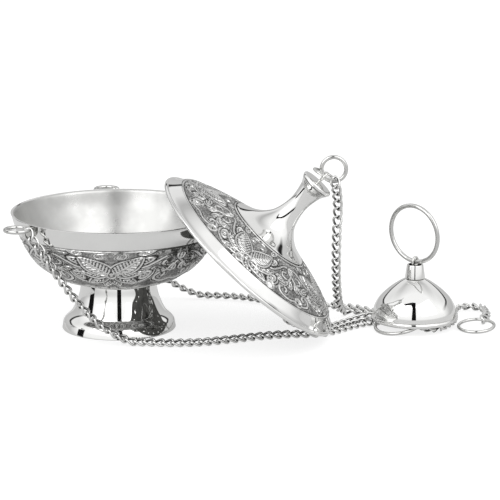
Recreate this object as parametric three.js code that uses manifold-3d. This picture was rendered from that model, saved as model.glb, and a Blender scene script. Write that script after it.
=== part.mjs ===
// A small hanging thurible, laid out on a table: bowl on its foot, lid leaning on the bowl,
// cap with its handle ring standing on the chains. Millimetres, +Z up.
// The layout is drawn from the middle of the foot, on the table. +X runs from the bowl to the cap.
// At the end the origin moves to the middle of the part's box, on the table.
import * as THREE from 'three';
import { mergeVertices } from 'three/addons/utils/BufferGeometryUtils.js';
import Module from 'manifold-3d';

const wasm = await Module();
wasm.setup();

// Clearances
const GAP = 0.3;
const RING_PLAY = 0.5;
const CAP_STAND = 0.8;

// Bowl
const RIM_RADIUS = 60;
const BOWL_RISE = 39.9;
const BOWL_WALL = 1.6;
const SEAT_RADIUS = 21;

// Foot
const FOOT_HEIGHT = 27;
const FOOT_RADIUS = 32;
const FOOT_LIP = 4.4;
const FOOT_LIP_TAPER = 0.7;
const FOOT_WALL = 1.5;

// Bolt that holds the bowl on the foot
const BOLT_RADIUS = 2.5;
const BOLT_HEAD_RADIUS = 4.6;
const BOLT_HEAD_HEIGHT = 2.2;
const BOLT_TAIL = 1.5;
const WASHER_RADIUS = 6;
const WASHER_HEIGHT = 1;
const NUT_RADIUS = 4.7;
const NUT_HEIGHT = 4;

// Ears: three rings soldered flat outside the rim
const EAR_COUNT = 3;
const EAR_FIRST_ANGLE = 98.2;
const EAR_RING_RADIUS = 6.4;
const EAR_WIRE = 2.3;
const EAR_DROP = 2;
const EAR_LUG_WIDTH = 5;
const EAR_LUG_HEIGHT = 5;

// Chains
const CHAIN_DIAMETER = 3.4;
const CHAIN_SIDES = 8;
const CHAIN_STEP = 5;

// Lid
const LID_RADIUS = 62;
const LID_WALL = 1.4;
const FLANGE_HEIGHT = 7.2;
const FLANGE_WIDTH = 7;
const DOME_HEIGHT = 11.3;
const NECK_FOOT_RADIUS = 24.5;
const NECK_HEIGHT = 37.4;
const NECK_RADIUS = 5.3;
const FINIAL_RADIUS = 9;
const PLATE_THICKNESS = 1.8;
const PLATE_OVERHANG = 0.4;
const SPIGOT_DEPTH = 1.2;
const VENT_COUNT = 14;
const VENT_RADIUS = 2;
const VENT_CIRCLE = 50.5;
const VENT_FIRST_ANGLE = -125;

// Embossed band on the lid's dome: a flower motif, drawn once and repeated round the axis
const EMBOSS_DEPTH = 0.6;
const EMBOSS_BORDER = 1.2;
const EMBOSS_REPEATS = 4;
const EMBOSS_FIRST_ANGLE = -96;
const MOTIF_HALF_WIDTH = 39;
const MOTIF_DEPTH = 42;

// Where the lid leans
const LEAN = 42.3;
const LEAN_AZIMUTH = -4.65;
const LID_CENTRE_X = 72.5;
const LID_CENTRE_Y = -23.2;

// Eye, jump ring and upright ring on the lid's finial
const EYE_RADIUS = 2.4;
const EYE_WIRE = 1.6;
const EYE_STEM = 2.6;
const JUMP_RADIUS = 6.25;
const JUMP_WIRE = 1.5;
const JUMP_SLOPE = 27.4;
const JUMP_HOOK_ANGLE = 88;
const LID_RING_RADIUS = 6.8;
const LID_RING_WIRE = 2.3;
const LID_RING_ALONG = 3.8;
const LID_RING_BEHIND = 3.6;
const LID_RING_RISE = 4.3;

// Cap: small dome, collar and handle ring
const CAP_X = 166.9;
const CAP_Y = 0;
const CAP_RADIUS = 24.2;
const CAP_LIP = 3;
const CAP_HEIGHT = 23.8;
const CAP_WALL = 1.2;
const COLLAR_FOOT_RADIUS = 5.7;
const COLLAR_TOP_RADIUS = 4.7;
const COLLAR_HEIGHT = 7.8;
const COLLAR_WALL = 1;
const SPINDLE_RADIUS = 1.3;
const CAP_EYE_RADIUS = 2.4;
const CAP_EYE_WIRE = 1.4;
const HANDLE_LIFT = 0.4;
const HANDLE_RADIUS = 16.2;
const HANDLE_WIRE = 2.5;
const HANDLE_YAW = -40;
const HANDLE_LEAN = 4.3;
const HOOK_NUT_RADIUS = 3;
const HOOK_NUT_HEIGHT = 4;

// Gathering ring under the cap, which holds the three bowl chains
const GATHER_RADIUS = 13.4;
const GATHER_WIRE = 1.9;
const GATHER_AZIMUTH = 225;
const GATHER_TILT = 14;

// Ring at the free end of the lid's chain
const LIFT_RADIUS = 10;
const LIFT_WIRE = 1.8;
const LIFT_TILT = 7;
const LIFT_AZIMUTH = 65;
const LIFT_HOOK_X = 205.6;
const LIFT_HOOK_Y = 2.4;

// Facets
const ROUND = 40;
const SMALL_ROUND = 16;
const WIRE_SIDES = 8;
const RING_STEPS = 22;
const PROFILE_STEPS = 5;

// Derived places
const BOWL_SEAT = FOOT_HEIGHT + GAP;
const RIM_TOP = BOWL_SEAT + BOWL_RISE;
const LID_LOW = CHAIN_DIAMETER + GAP;
const CAP_BASE = CHAIN_DIAMETER + CAP_STAND;
const FINIAL_HEIGHT = FLANGE_HEIGHT + DOME_HEIGHT + NECK_HEIGHT;

const rad = THREE.MathUtils.degToRad;
const group = new THREE.Group();

// Materials

const POLISHED = { color: 0xd9d9d6, roughness: 0.08, metalness: 1 };
const SATIN = { color: 0xc9c9c5, roughness: 0.3, metalness: 1 };
const CHAIN = { color: 0xbdbdb8, roughness: 0.22, metalness: 1 };

// Names a mesh, gives it its own material and puts it in a group.
function add(name, geometry, finish, parent = group) {
  const mesh = new THREE.Mesh(geometry, new THREE.MeshStandardMaterial(finish));
  mesh.name = name;
  parent.add(mesh);
  return mesh;
}

// Solids

// Signed volume of a closed triangle mesh, positive where its faces point out.
function signedVolume(positions, triangles) {
  const [a, b, c] = [0, 1, 2].map(() => new THREE.Vector3());
  let volume = 0;
  for (let i = 0; i < triangles.length; i += 3) {
    a.fromArray(positions, 3 * triangles[i]);
    b.fromArray(positions, 3 * triangles[i + 1]);
    c.fromArray(positions, 3 * triangles[i + 2]);
    volume += a.dot(b.cross(c)) / 6;
  }
  return volume;
}

// Turns a closed three.js geometry into a solid with its faces pointing out.
function solid(geometry) {
  const open = geometry.clone();
  open.deleteAttribute('normal');
  open.deleteAttribute('uv');
  const merged = mergeVertices(open, 1e-4);
  const vertProperties = new Float32Array(merged.attributes.position.array);
  const triVerts = new Uint32Array(merged.index.array);
  if (signedVolume(vertProperties, triVerts) < 0) triVerts.reverse();
  return new wasm.Manifold(new wasm.Mesh({ numProp: 3, vertProperties, triVerts }));
}

// Turns a solid back into a geometry.
function geometryOf(shape) {
  const mesh = shape.getMesh();
  const geometry = new THREE.BufferGeometry();
  geometry.setAttribute('position', new THREE.BufferAttribute(mesh.vertProperties, 3));
  geometry.setIndex(new THREE.BufferAttribute(mesh.triVerts, 1));
  geometry.computeVertexNormals();
  return geometry;
}

// A profile of [radius, height] points turned about the Z axis.
function turned(profile, segments = ROUND) {
  const points = profile.map(([radius, height]) => new THREE.Vector2(radius, height));
  return solid(new THREE.LatheGeometry(points, segments).rotateX(Math.PI / 2));
}

// A disc or short rod on the Z axis from one height to another.
function rod(radius, low, high, segments = SMALL_ROUND) {
  const geometry = new THREE.CylinderGeometry(radius, radius, high - low, segments);
  return solid(geometry.rotateX(Math.PI / 2).translate(0, 0, (low + high) / 2));
}

// A wire ring round the Z axis.
function ring(radius, wire, steps = RING_STEPS) {
  return solid(new THREE.TorusGeometry(radius, wire / 2, WIRE_SIDES, steps));
}

// A wire ring standing up in the XZ plane.
function standingRing(radius, wire, steps = RING_STEPS) {
  return solid(new THREE.TorusGeometry(radius, wire / 2, WIRE_SIDES, steps).rotateX(Math.PI / 2));
}

// The [radius, height] points of a smooth curve through a few given ones.
function smooth(points, steps = PROFILE_STEPS * (points.length - 1)) {
  const curve = new THREE.SplineCurve(points.map(([r, h]) => new THREE.Vector2(r, h)));
  return curve.getPoints(steps).map((point) => [point.x, point.y]);
}

// The same curve moved sideways by a wall, towards the axis side of its direction of travel.
function offset(profile, wall) {
  return profile.map(([radius, height], index) => {
    const before = profile[Math.max(index - 1, 0)];
    const after = profile[Math.min(index + 1, profile.length - 1)];
    const along = new THREE.Vector2(after[0] - before[0], after[1] - before[1]).normalize();
    return [radius + wall * along.y, height - wall * along.x];
  });
}

// Bowl and foot

// Outer wall of the bowl from the edge of its seat up to the rim, seat at height 0.
function bowlCurve() {
  const radial = (share) => SEAT_RADIUS + share * (RIM_RADIUS - SEAT_RADIUS);
  return smooth([
    [SEAT_RADIUS, 0],
    [radial(0.31), 0.068 * BOWL_RISE],
    [radial(0.564), 0.218 * BOWL_RISE],
    [radial(0.744), 0.406 * BOWL_RISE],
    [radial(0.91), 0.72 * BOWL_RISE],
    [RIM_RADIUS, BOWL_RISE],
  ], 10);
}

function bowlShell() {
  const outer = bowlCurve();
  const inner = offset(outer, -BOWL_WALL);
  inner[0] = [SEAT_RADIUS - BOWL_WALL, BOWL_WALL];
  inner[inner.length - 1] = [RIM_RADIUS - BOWL_WALL, BOWL_RISE];
  const hole = BOLT_RADIUS + GAP;
  const profile = [[hole, 0], ...outer, ...inner.reverse(), [hole, BOWL_WALL], [hole, 0]];
  return turned(profile).translate([0, 0, BOWL_SEAT]);
}

// Outer wall of the foot from its seat down to the top of its lip.
function footCurve() {
  const edge = FOOT_RADIUS - FOOT_LIP_TAPER;
  const radial = (share) => SEAT_RADIUS + share * (edge - SEAT_RADIUS);
  const height = (share) => FOOT_LIP + share * (FOOT_HEIGHT - FOOT_LIP);
  return smooth([
    [SEAT_RADIUS, FOOT_HEIGHT],
    [radial(0.145), height(0.64)],
    [radial(0.5), height(0.26)],
    [radial(0.89), height(0.07)],
    [edge, FOOT_LIP],
  ], 7);
}

function foot() {
  const outer = footCurve();
  const inner = offset(outer, FOOT_WALL).reverse();
  inner[0] = [FOOT_RADIUS - FOOT_LIP_TAPER - FOOT_WALL, FOOT_LIP];
  inner[inner.length - 1] = [SEAT_RADIUS - FOOT_WALL, FOOT_HEIGHT - FOOT_WALL];
  const hole = BOLT_RADIUS + GAP;
  const profile = [
    [hole, FOOT_HEIGHT], ...outer, [FOOT_RADIUS, 0], [FOOT_RADIUS - FOOT_WALL, 0],
    ...inner, [hole, FOOT_HEIGHT - FOOT_WALL], [hole, FOOT_HEIGHT],
  ];
  return turned(profile);
}

// Height of each face in the bolted joint, from the head down to the nut.
const HEAD_SEAT = BOWL_SEAT + BOWL_WALL + GAP;
const WASHER_TOP = FOOT_HEIGHT - FOOT_WALL - GAP;
const NUT_TOP = WASHER_TOP - WASHER_HEIGHT - GAP;
const BOLT_END = NUT_TOP - NUT_HEIGHT - BOLT_TAIL;

function footBolt() {
  const crown = smooth([
    [BOLT_HEAD_RADIUS, HEAD_SEAT],
    [0.8 * BOLT_HEAD_RADIUS, HEAD_SEAT + 0.65 * BOLT_HEAD_HEIGHT],
    [0, HEAD_SEAT + BOLT_HEAD_HEIGHT],
  ], 5);
  return turned([[0, BOLT_END], [BOLT_RADIUS, BOLT_END], [BOLT_RADIUS, HEAD_SEAT], ...crown],
    SMALL_ROUND);
}

function washer() {
  const disc = rod(WASHER_RADIUS, WASHER_TOP - WASHER_HEIGHT, WASHER_TOP);
  return disc.subtract(rod(BOLT_RADIUS + GAP, WASHER_TOP - 2 * WASHER_HEIGHT, WASHER_TOP + 1));
}

function nut() {
  const hexagon = rod(NUT_RADIUS, NUT_TOP - NUT_HEIGHT, NUT_TOP, 6);
  return hexagon.subtract(rod(BOLT_RADIUS + GAP, NUT_TOP - 2 * NUT_HEIGHT, NUT_TOP + 1));
}

// Ears

const EAR_CENTRE = RIM_RADIUS + GAP + EAR_WIRE / 2 + EAR_RING_RADIUS;
const EAR_HEIGHT = RIM_TOP - EAR_DROP;

// A lug soldered under the rim, grooved for the ring that lies in it.
function earLug() {
  const depth = GAP + EAR_WIRE;
  const block = solid(new THREE.BoxGeometry(4 * depth, EAR_LUG_WIDTH, EAR_LUG_HEIGHT)
    .translate(RIM_RADIUS + depth - 2 * depth, 0, EAR_HEIGHT - EAR_LUG_HEIGHT / 2));
  const groove = ring(EAR_RING_RADIUS, EAR_WIRE + 2 * GAP).translate([EAR_CENTRE, 0, EAR_HEIGHT]);
  const wall = turned([
    [0, 0],
    ...bowlCurve().map(([radius, height]) => [radius + 1.2 * GAP, height]),
    [RIM_RADIUS + 1.2 * GAP, BOWL_RISE + EAR_WIRE],
    [0, BOWL_RISE + EAR_WIRE],
  ], 2 * ROUND).translate([0, 0, BOWL_SEAT]);
  return block.subtract(wall).subtract(groove);
}

function buildBowl() {
  add('bowl_shell', geometryOf(bowlShell()), POLISHED);
  add('foot', geometryOf(foot()), POLISHED);
  add('foot_bolt', geometryOf(footBolt()), SATIN);
  add('foot_washer', geometryOf(washer()), SATIN);
  add('foot_nut', geometryOf(nut()), SATIN);
  const names = ['back', 'left', 'right'];
  for (let index = 0; index < EAR_COUNT; index += 1) {
    const ear = new THREE.Group();
    ear.rotation.z = rad(EAR_FIRST_ANGLE + (index * 360) / EAR_COUNT);
    group.add(ear);
    add(`ear_lug_${names[index]}`, geometryOf(earLug()), SATIN, ear);
    const loop = ring(EAR_RING_RADIUS, EAR_WIRE).translate([EAR_CENTRE, 0, EAR_HEIGHT]);
    add(`ear_ring_${names[index]}`, geometryOf(loop), POLISHED, ear);
  }
}

// Lid, in its own frame: rim plane at height 0, local +X down the slope

const NECK_BASE = FLANGE_HEIGHT + DOME_HEIGHT;

// Outer wall of the dome from the inner edge of its flange up to the neck.
function domeCurve() {
  const band = LID_RADIUS - FLANGE_WIDTH;
  const radial = (share) => NECK_FOOT_RADIUS + share * (band - NECK_FOOT_RADIUS);
  return smooth([
    [band, FLANGE_HEIGHT],
    [radial(0.75), FLANGE_HEIGHT + 0.29 * DOME_HEIGHT],
    [radial(0.42), FLANGE_HEIGHT + 0.62 * DOME_HEIGHT],
    [NECK_FOOT_RADIUS, NECK_BASE],
  ], 5);
}

// Outer wall of the neck from its foot up to the finial.
function neckCurve() {
  const radial = (share) => NECK_RADIUS + share * (NECK_FOOT_RADIUS - NECK_RADIUS);
  return smooth([
    [NECK_FOOT_RADIUS, NECK_BASE],
    [radial(0.59), NECK_BASE + 0.09 * NECK_HEIGHT],
    [radial(0.29), NECK_BASE + 0.21 * NECK_HEIGHT],
    [radial(0.1), NECK_BASE + 0.36 * NECK_HEIGHT],
    [NECK_RADIUS, NECK_BASE + 0.62 * NECK_HEIGHT],
    [NECK_RADIUS + 0.35 * (FINIAL_RADIUS - NECK_RADIUS), NECK_BASE + 0.87 * NECK_HEIGHT],
    [FINIAL_RADIUS, FINIAL_HEIGHT],
  ], 11);
}

// The point at a distance along a profile.
function pointAt(profile, distance) {
  let left = distance;
  for (let index = 1; index < profile.length; index += 1) {
    const [from, to] = [profile[index - 1], profile[index]];
    const step = Math.hypot(to[0] - from[0], to[1] - from[1]);
    if (left <= step || index === profile.length - 1) {
      const share = left / step;
      return [from[0] + share * (to[0] - from[0]), from[1] + share * (to[1] - from[1])];
    }
    left -= step;
  }
  return profile[0];
}

function lengthOf(profile) {
  let length = 0;
  for (let index = 1; index < profile.length; index += 1) {
    const [from, to] = [profile[index - 1], profile[index]];
    length += Math.hypot(to[0] - from[0], to[1] - from[1]);
  }
  return length;
}

// The dome's outer wall between the two plain borders of its embossed band.
function bandCurve(steps = 6) {
  const outer = domeCurve();
  const length = lengthOf(outer) - 2 * EMBOSS_BORDER;
  return Array.from({ length: steps + 1 }, (_, index) => (
    pointAt(outer, EMBOSS_BORDER + (index * length) / steps)));
}

// Petals and leaves of half a motif: root x and y, turn from upright, start, length, half width.
const LEAVES = [
  [0, 16, 0, 0.6, 13.5, 3], [0, 12, 33, 2.4, 27, 6.2], [0, 12, 79, 2.4, 17, 4.4],
  [0, 12, 118, 2.4, 15.5, 4], [0, 12, 158, 2.4, 11.5, 3.6], [39, 36, 180, 0, 9, 2.6],
];

// Beans and scroll bosses of half a motif: centre x and y, turn, half length, half width.
const BOSSES = [
  [17.8, 29.6, 38, 5.6, 2.7], [19.6, 12.4, 64, 4.4, 2.2], [33, 28.4, 0, 4.4, 5.2],
  [32, 8.6, 0, 5, 3.8],
];

// Outline of a pointed leaf, widest below its middle.
function leafOutline([x, y, turn, start, length, width]) {
  const [sine, cosine] = [Math.sin(rad(turn)), Math.cos(rad(turn))];
  const place = (share, side) => {
    const along = start + share * length;
    const across = side * width * Math.sqrt(Math.sin(Math.PI * share) * (1.15 - share));
    return [x + along * sine + across * cosine, y + along * cosine - across * sine];
  };
  const right = [0.12, 0.36, 0.62, 0.86].map((share) => place(share, 1));
  const left = [0.86, 0.62, 0.36, 0.12].map((share) => place(share, -1));
  return [place(0, 0), ...right, place(1, 0), ...left];
}

function bossOutline([x, y, turn, halfLength, halfWidth], sides = 8) {
  const [sine, cosine] = [Math.sin(rad(turn)), Math.cos(rad(turn))];
  return Array.from({ length: sides }, (_, index) => {
    const angle = (index * 2 * Math.PI) / sides;
    const [along, across] = [halfLength * Math.cos(angle), halfWidth * Math.sin(angle)];
    return [x + along * cosine - across * sine, y + along * sine + across * cosine];
  });
}

// An upright prism on a motif outline that is bent round the band.
function motifPrism(outline, repeat, side) {
  const band = bandCurve();
  const length = lengthOf(band);
  const shape = new THREE.Shape(outline.map(([x, y]) => {
    const turn = (side * x * Math.PI) / (MOTIF_HALF_WIDTH * EMBOSS_REPEATS);
    const angle = turn + rad(EMBOSS_FIRST_ANGLE + (repeat * 360) / EMBOSS_REPEATS);
    const height = THREE.MathUtils.clamp(y / MOTIF_DEPTH, -0.05, 1.05) * length;
    const [radius] = pointAt(band, height);
    return new THREE.Vector2(radius * Math.cos(angle), radius * Math.sin(angle));
  }));
  return solid(new THREE.ExtrudeGeometry(shape, { depth: FINIAL_HEIGHT, bevelEnabled: false }));
}

// The lowered ground of the band, all round the raised motifs.
function embossedGround() {
  const band = bandCurve();
  const floor = offset(band, -EMBOSS_DEPTH).reverse();
  const roof = offset(band, EMBOSS_DEPTH);
  const raised = [];
  const outlines = [...LEAVES.map(leafOutline), ...BOSSES.map((boss) => bossOutline(boss))];
  for (const outline of outlines) {
    const middle = outline.reduce((sum, point) => sum + point[0], 0) / outline.length;
    const sides = middle < 0.1 || middle > MOTIF_HALF_WIDTH - 0.1 ? [1] : [1, -1];
    for (let repeat = 0; repeat < EMBOSS_REPEATS; repeat += 1) {
      sides.forEach((side) => raised.push(motifPrism(outline, repeat, side)));
    }
  }
  const forms = raised.reduce((sum, prism) => sum.add(prism));
  return turned([...roof, ...floor, roof[0]]).subtract(forms);
}

function lidDome() {
  const outer = domeCurve();
  const inner = offset(outer, -LID_WALL).reverse();
  inner[0] = [NECK_FOOT_RADIUS, NECK_BASE - LID_WALL];
  inner[inner.length - 1] = [LID_RADIUS - FLANGE_WIDTH - LID_WALL, FLANGE_HEIGHT - LID_WALL];
  const edge = 0.5 * LID_WALL;
  const profile = [
    [LID_RADIUS - LID_WALL, 0], [LID_RADIUS, 0], [LID_RADIUS, 1.3 * LID_WALL],
    [LID_RADIUS - edge, 2 * LID_WALL], ...outer,
    ...inner, [LID_RADIUS - 2 * LID_WALL, 1.2 * LID_WALL], [LID_RADIUS - LID_WALL, 0],
  ];
  let shell = turned(profile).subtract(embossedGround());
  for (let index = 0; index < VENT_COUNT; index += 1) {
    const angle = rad(VENT_FIRST_ANGLE + (index * 360) / VENT_COUNT);
    const place = [VENT_CIRCLE * Math.cos(angle), VENT_CIRCLE * Math.sin(angle), 0];
    shell = shell.subtract(rod(VENT_RADIUS, 0, FINIAL_HEIGHT, 10).translate(place));
  }
  return shell;
}

// The trumpet-shaped neck, set into the dome's opening with a small joint.
function lidNeck() {
  const outer = neckCurve();
  const inner = offset(outer, -LID_WALL).reverse();
  outer[0] = [NECK_FOOT_RADIUS - GAP, NECK_BASE];
  inner[0] = [FINIAL_RADIUS - LID_WALL, FINIAL_HEIGHT];
  inner[inner.length - 1] = [NECK_FOOT_RADIUS - GAP, NECK_BASE - LID_WALL];
  return turned([...outer, ...inner, outer[0]]);
}

const PLATE_LOW = FINIAL_HEIGHT + GAP;
const PLATE_TOP = PLATE_LOW + PLATE_THICKNESS;
const PLATE_HOLE = EYE_WIRE / 2 + GAP;
const EYE_CENTRE = PLATE_TOP + EYE_STEM + EYE_RADIUS;

// The disc that closes the finial, with a spigot that drops into the neck.
function topPlate() {
  const disc = rod(FINIAL_RADIUS + PLATE_OVERHANG, PLATE_LOW, PLATE_TOP, 28);
  const spigotRadius = FINIAL_RADIUS - LID_WALL - SPIGOT_DEPTH - GAP;
  const spigot = rod(spigotRadius, PLATE_LOW - SPIGOT_DEPTH, PLATE_TOP);
  return disc.add(spigot).subtract(rod(PLATE_HOLE, 0, PLATE_TOP + 1, WIRE_SIDES));
}

// A wire eye with its stem riveted under the plate.
function lidEye() {
  const stemLow = PLATE_LOW - SPIGOT_DEPTH - GAP - 1;
  const eye = ring(EYE_RADIUS, EYE_WIRE, SMALL_ROUND).rotate([0, 90, 0]).translate([0, 0, EYE_CENTRE]);
  const stem = rod(EYE_WIRE / 2, stemLow, EYE_CENTRE - EYE_RADIUS, WIRE_SIDES);
  const rivet = rod(EYE_WIRE, stemLow - 1, stemLow + 1);
  return eye.add(stem).add(rivet);
}

const lid = new THREE.Group();
const lean = new THREE.Quaternion().setFromEuler(new THREE.Euler(0, rad(LEAN), 0));
const azimuth = new THREE.Quaternion().setFromEuler(new THREE.Euler(0, 0, rad(LEAN_AZIMUTH)));
lid.quaternion.copy(azimuth).multiply(lean);
lid.position.set(LID_CENTRE_X, LID_CENTRE_Y, LID_LOW + LID_RADIUS * Math.sin(rad(LEAN)));
lid.updateMatrixWorld(true);

// Directions of the jump ring's plane: down its slope, and square to it.
const JUMP_DOWN = new THREE.Vector3(Math.cos(rad(JUMP_SLOPE)), 0, -Math.sin(rad(JUMP_SLOPE)));
const JUMP_UP = new THREE.Vector3(Math.sin(rad(JUMP_SLOPE)), 0, Math.cos(rad(JUMP_SLOPE)));
const BEHIND = new THREE.Vector3(0, 1, 0);
const hook = new THREE.Vector3(0, 0, EYE_CENTRE).applyMatrix4(lid.matrixWorld);
const jumpCentre = hook.clone()
  .addScaledVector(JUMP_DOWN, JUMP_RADIUS * Math.cos(rad(JUMP_HOOK_ANGLE)))
  .addScaledVector(BEHIND, JUMP_RADIUS * Math.sin(rad(JUMP_HOOK_ANGLE)));
const jumpEnd = jumpCentre.clone().addScaledVector(JUMP_DOWN, JUMP_RADIUS);
const lidRingCentre = jumpCentre.clone()
  .addScaledVector(JUMP_DOWN, LID_RING_ALONG)
  .addScaledVector(JUMP_UP, LID_RING_RISE)
  .addScaledVector(BEHIND, LID_RING_BEHIND);

function buildLid() {
  group.add(lid);
  add('lid_dome', geometryOf(lidDome()), POLISHED, lid);
  add('lid_neck', geometryOf(lidNeck()), POLISHED, lid);
  add('lid_top_plate', geometryOf(topPlate()), POLISHED, lid);
  add('lid_eye', geometryOf(lidEye()), SATIN, lid);
  const jump = add('lid_jump_ring', geometryOf(ring(JUMP_RADIUS, JUMP_WIRE)), POLISHED);
  jump.rotation.y = rad(JUMP_SLOPE);
  jump.position.copy(jumpCentre);
  const upright = add('lid_ring', geometryOf(standingRing(LID_RING_RADIUS, LID_RING_WIRE)), POLISHED);
  upright.position.copy(lidRingCentre);
}

// Cap

const COLLAR_LOW = CAP_BASE + CAP_HEIGHT + GAP;
const COLLAR_TOP = COLLAR_LOW + COLLAR_HEIGHT;
const CAP_EYE_CENTRE = COLLAR_TOP + HANDLE_WIRE / 2 + HANDLE_LIFT;
const SPINDLE_HOLE = SPINDLE_RADIUS + GAP;

// Outer wall of the dome from the top of its rolled lip up to the collar's seat.
function capCurve() {
  const radial = (share) => COLLAR_FOOT_RADIUS + share * (CAP_RADIUS - COLLAR_FOOT_RADIUS);
  return smooth([
    [radial(0.97), CAP_LIP],
    [radial(0.945), 0.26 * CAP_HEIGHT],
    [radial(0.885), 0.39 * CAP_HEIGHT],
    [radial(0.75), 0.555 * CAP_HEIGHT],
    [radial(0.5), 0.745 * CAP_HEIGHT],
    [radial(0.2), 0.915 * CAP_HEIGHT],
    [COLLAR_FOOT_RADIUS, CAP_HEIGHT],
  ], 12);
}

function capDome() {
  const outer = capCurve();
  const inner = offset(outer, -CAP_WALL).reverse();
  inner[0] = [COLLAR_FOOT_RADIUS - CAP_WALL, CAP_HEIGHT - CAP_WALL];
  const profile = [
    [CAP_RADIUS - CAP_WALL, 0], [CAP_RADIUS - 0.2, 0], [CAP_RADIUS, 0.45 * CAP_LIP],
    [CAP_RADIUS - 0.2, 0.9 * CAP_LIP], ...outer, [SPINDLE_HOLE, CAP_HEIGHT],
    [SPINDLE_HOLE, CAP_HEIGHT - CAP_WALL], ...inner, [CAP_RADIUS - CAP_WALL, 0],
  ];
  return turned(profile, 32).translate([0, 0, CAP_BASE]);
}

// An open sleeve with a floor that turns on the spindle.
function collar() {
  const inside = COLLAR_TOP_RADIUS - COLLAR_WALL;
  const profile = [
    [SPINDLE_HOLE, COLLAR_LOW], [COLLAR_FOOT_RADIUS, COLLAR_LOW],
    [COLLAR_TOP_RADIUS, COLLAR_TOP - 0.4], [COLLAR_TOP_RADIUS - 0.3, COLLAR_TOP],
    [inside, COLLAR_TOP], [inside, COLLAR_LOW + COLLAR_WALL],
    [SPINDLE_HOLE, COLLAR_LOW + COLLAR_WALL], [SPINDLE_HOLE, COLLAR_LOW],
  ];
  return turned(profile, 24);
}

// Where the gathering ring hangs, inside the dome on its axis.
const GATHER_LOW = GATHER_WIRE / 2;
const GATHER_HANG = GATHER_LOW + 2 * GATHER_RADIUS * Math.sin(rad(GATHER_TILT));
const HOOK_RADIUS = GATHER_WIRE / 2 + RING_PLAY + CAP_EYE_WIRE / 2;
const HOOK_NUT_TOP = CAP_BASE + CAP_HEIGHT - CAP_WALL - GAP;
const HOOK_NUT_LOW = HOOK_NUT_TOP - HOOK_NUT_HEIGHT;
const SPINDLE_LOW = HOOK_NUT_LOW + 1;

// Eye on top of the collar, on a spindle that runs down through the dome.
function capEyeBolt() {
  const eye = ring(CAP_EYE_RADIUS, CAP_EYE_WIRE, SMALL_ROUND).rotate([90, 0, 0])
    .translate([0, 0, CAP_EYE_CENTRE]);
  const spindle = rod(SPINDLE_RADIUS, SPINDLE_LOW, CAP_EYE_CENTRE - CAP_EYE_RADIUS, 12);
  return eye.add(spindle);
}

// Sleeve nut under the dome, with the loop that carries the gathering ring.
function capHook() {
  const sleeve = rod(HOOK_NUT_RADIUS, HOOK_NUT_LOW, HOOK_NUT_TOP, 12)
    .subtract(rod(SPINDLE_HOLE, SPINDLE_LOW - GAP, HOOK_NUT_TOP + 1, 12));
  const loop = ring(HOOK_RADIUS, CAP_EYE_WIRE, SMALL_ROUND).rotate([90, 0, 0])
    .translate([0, 0, GATHER_HANG]);
  const stem = rod(CAP_EYE_WIRE / 2, GATHER_HANG + HOOK_RADIUS, HOOK_NUT_LOW + 0.5, WIRE_SIDES);
  return sleeve.add(loop).add(stem);
}

const cap = new THREE.Group();
cap.position.set(CAP_X, CAP_Y, 0);

function buildCap() {
  group.add(cap);
  add('cap_dome', geometryOf(capDome()), POLISHED, cap);
  add('cap_collar', geometryOf(collar()), SATIN, cap);
  const turn = new THREE.Group();
  turn.rotation.z = rad(HANDLE_YAW + 90);
  cap.add(turn);
  add('cap_eye_bolt', geometryOf(capEyeBolt()), SATIN, turn);
  const hookTurn = new THREE.Group();
  hookTurn.rotation.z = rad(GATHER_AZIMUTH);
  cap.add(hookTurn);
  add('cap_hook', geometryOf(capHook()), SATIN, hookTurn);
  const handle = new THREE.Group();
  handle.rotation.z = rad(HANDLE_YAW);
  handle.position.z = CAP_EYE_CENTRE;
  cap.add(handle);
  const leaning = new THREE.Group();
  leaning.rotation.x = rad(HANDLE_LEAN);
  handle.add(leaning);
  const hoop = standingRing(HANDLE_RADIUS, HANDLE_WIRE, 44).translate([0, 0, HANDLE_RADIUS]);
  add('handle_ring', geometryOf(hoop), POLISHED, leaning);
  const gatherTurn = new THREE.Group();
  gatherTurn.rotation.z = rad(GATHER_AZIMUTH);
  gatherTurn.position.z = GATHER_HANG;
  cap.add(gatherTurn);
  const hanging = new THREE.Group();
  hanging.rotation.y = rad(GATHER_TILT);
  gatherTurn.add(hanging);
  const gathering = ring(GATHER_RADIUS, GATHER_WIRE, 32).translate([GATHER_RADIUS, 0, 0]);
  add('gathering_ring', geometryOf(gathering), POLISHED, hanging);
}

// Lift ring: its front edge lies on the table, its back edge on the chain's last link.
const LIFT_HOOK_Z = LIFT_WIRE / 2 + 2 * LIFT_RADIUS * Math.sin(rad(LIFT_TILT));

function buildLiftRing() {
  const turn = new THREE.Group();
  turn.rotation.z = rad(LIFT_AZIMUTH + 180);
  turn.position.set(LIFT_HOOK_X, LIFT_HOOK_Y, LIFT_HOOK_Z);
  group.add(turn);
  const tilt = new THREE.Group();
  tilt.rotation.y = rad(LIFT_TILT);
  turn.add(tilt);
  const hoop = ring(LIFT_RADIUS, LIFT_WIRE, 32).translate([LIFT_RADIUS, 0, 0]);
  add('lift_ring', geometryOf(hoop), POLISHED, tilt);
}

// Chains: routes chosen by hand, lying on the table where the height is LAY

const LAY = CHAIN_DIAMETER / 2;

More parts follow.
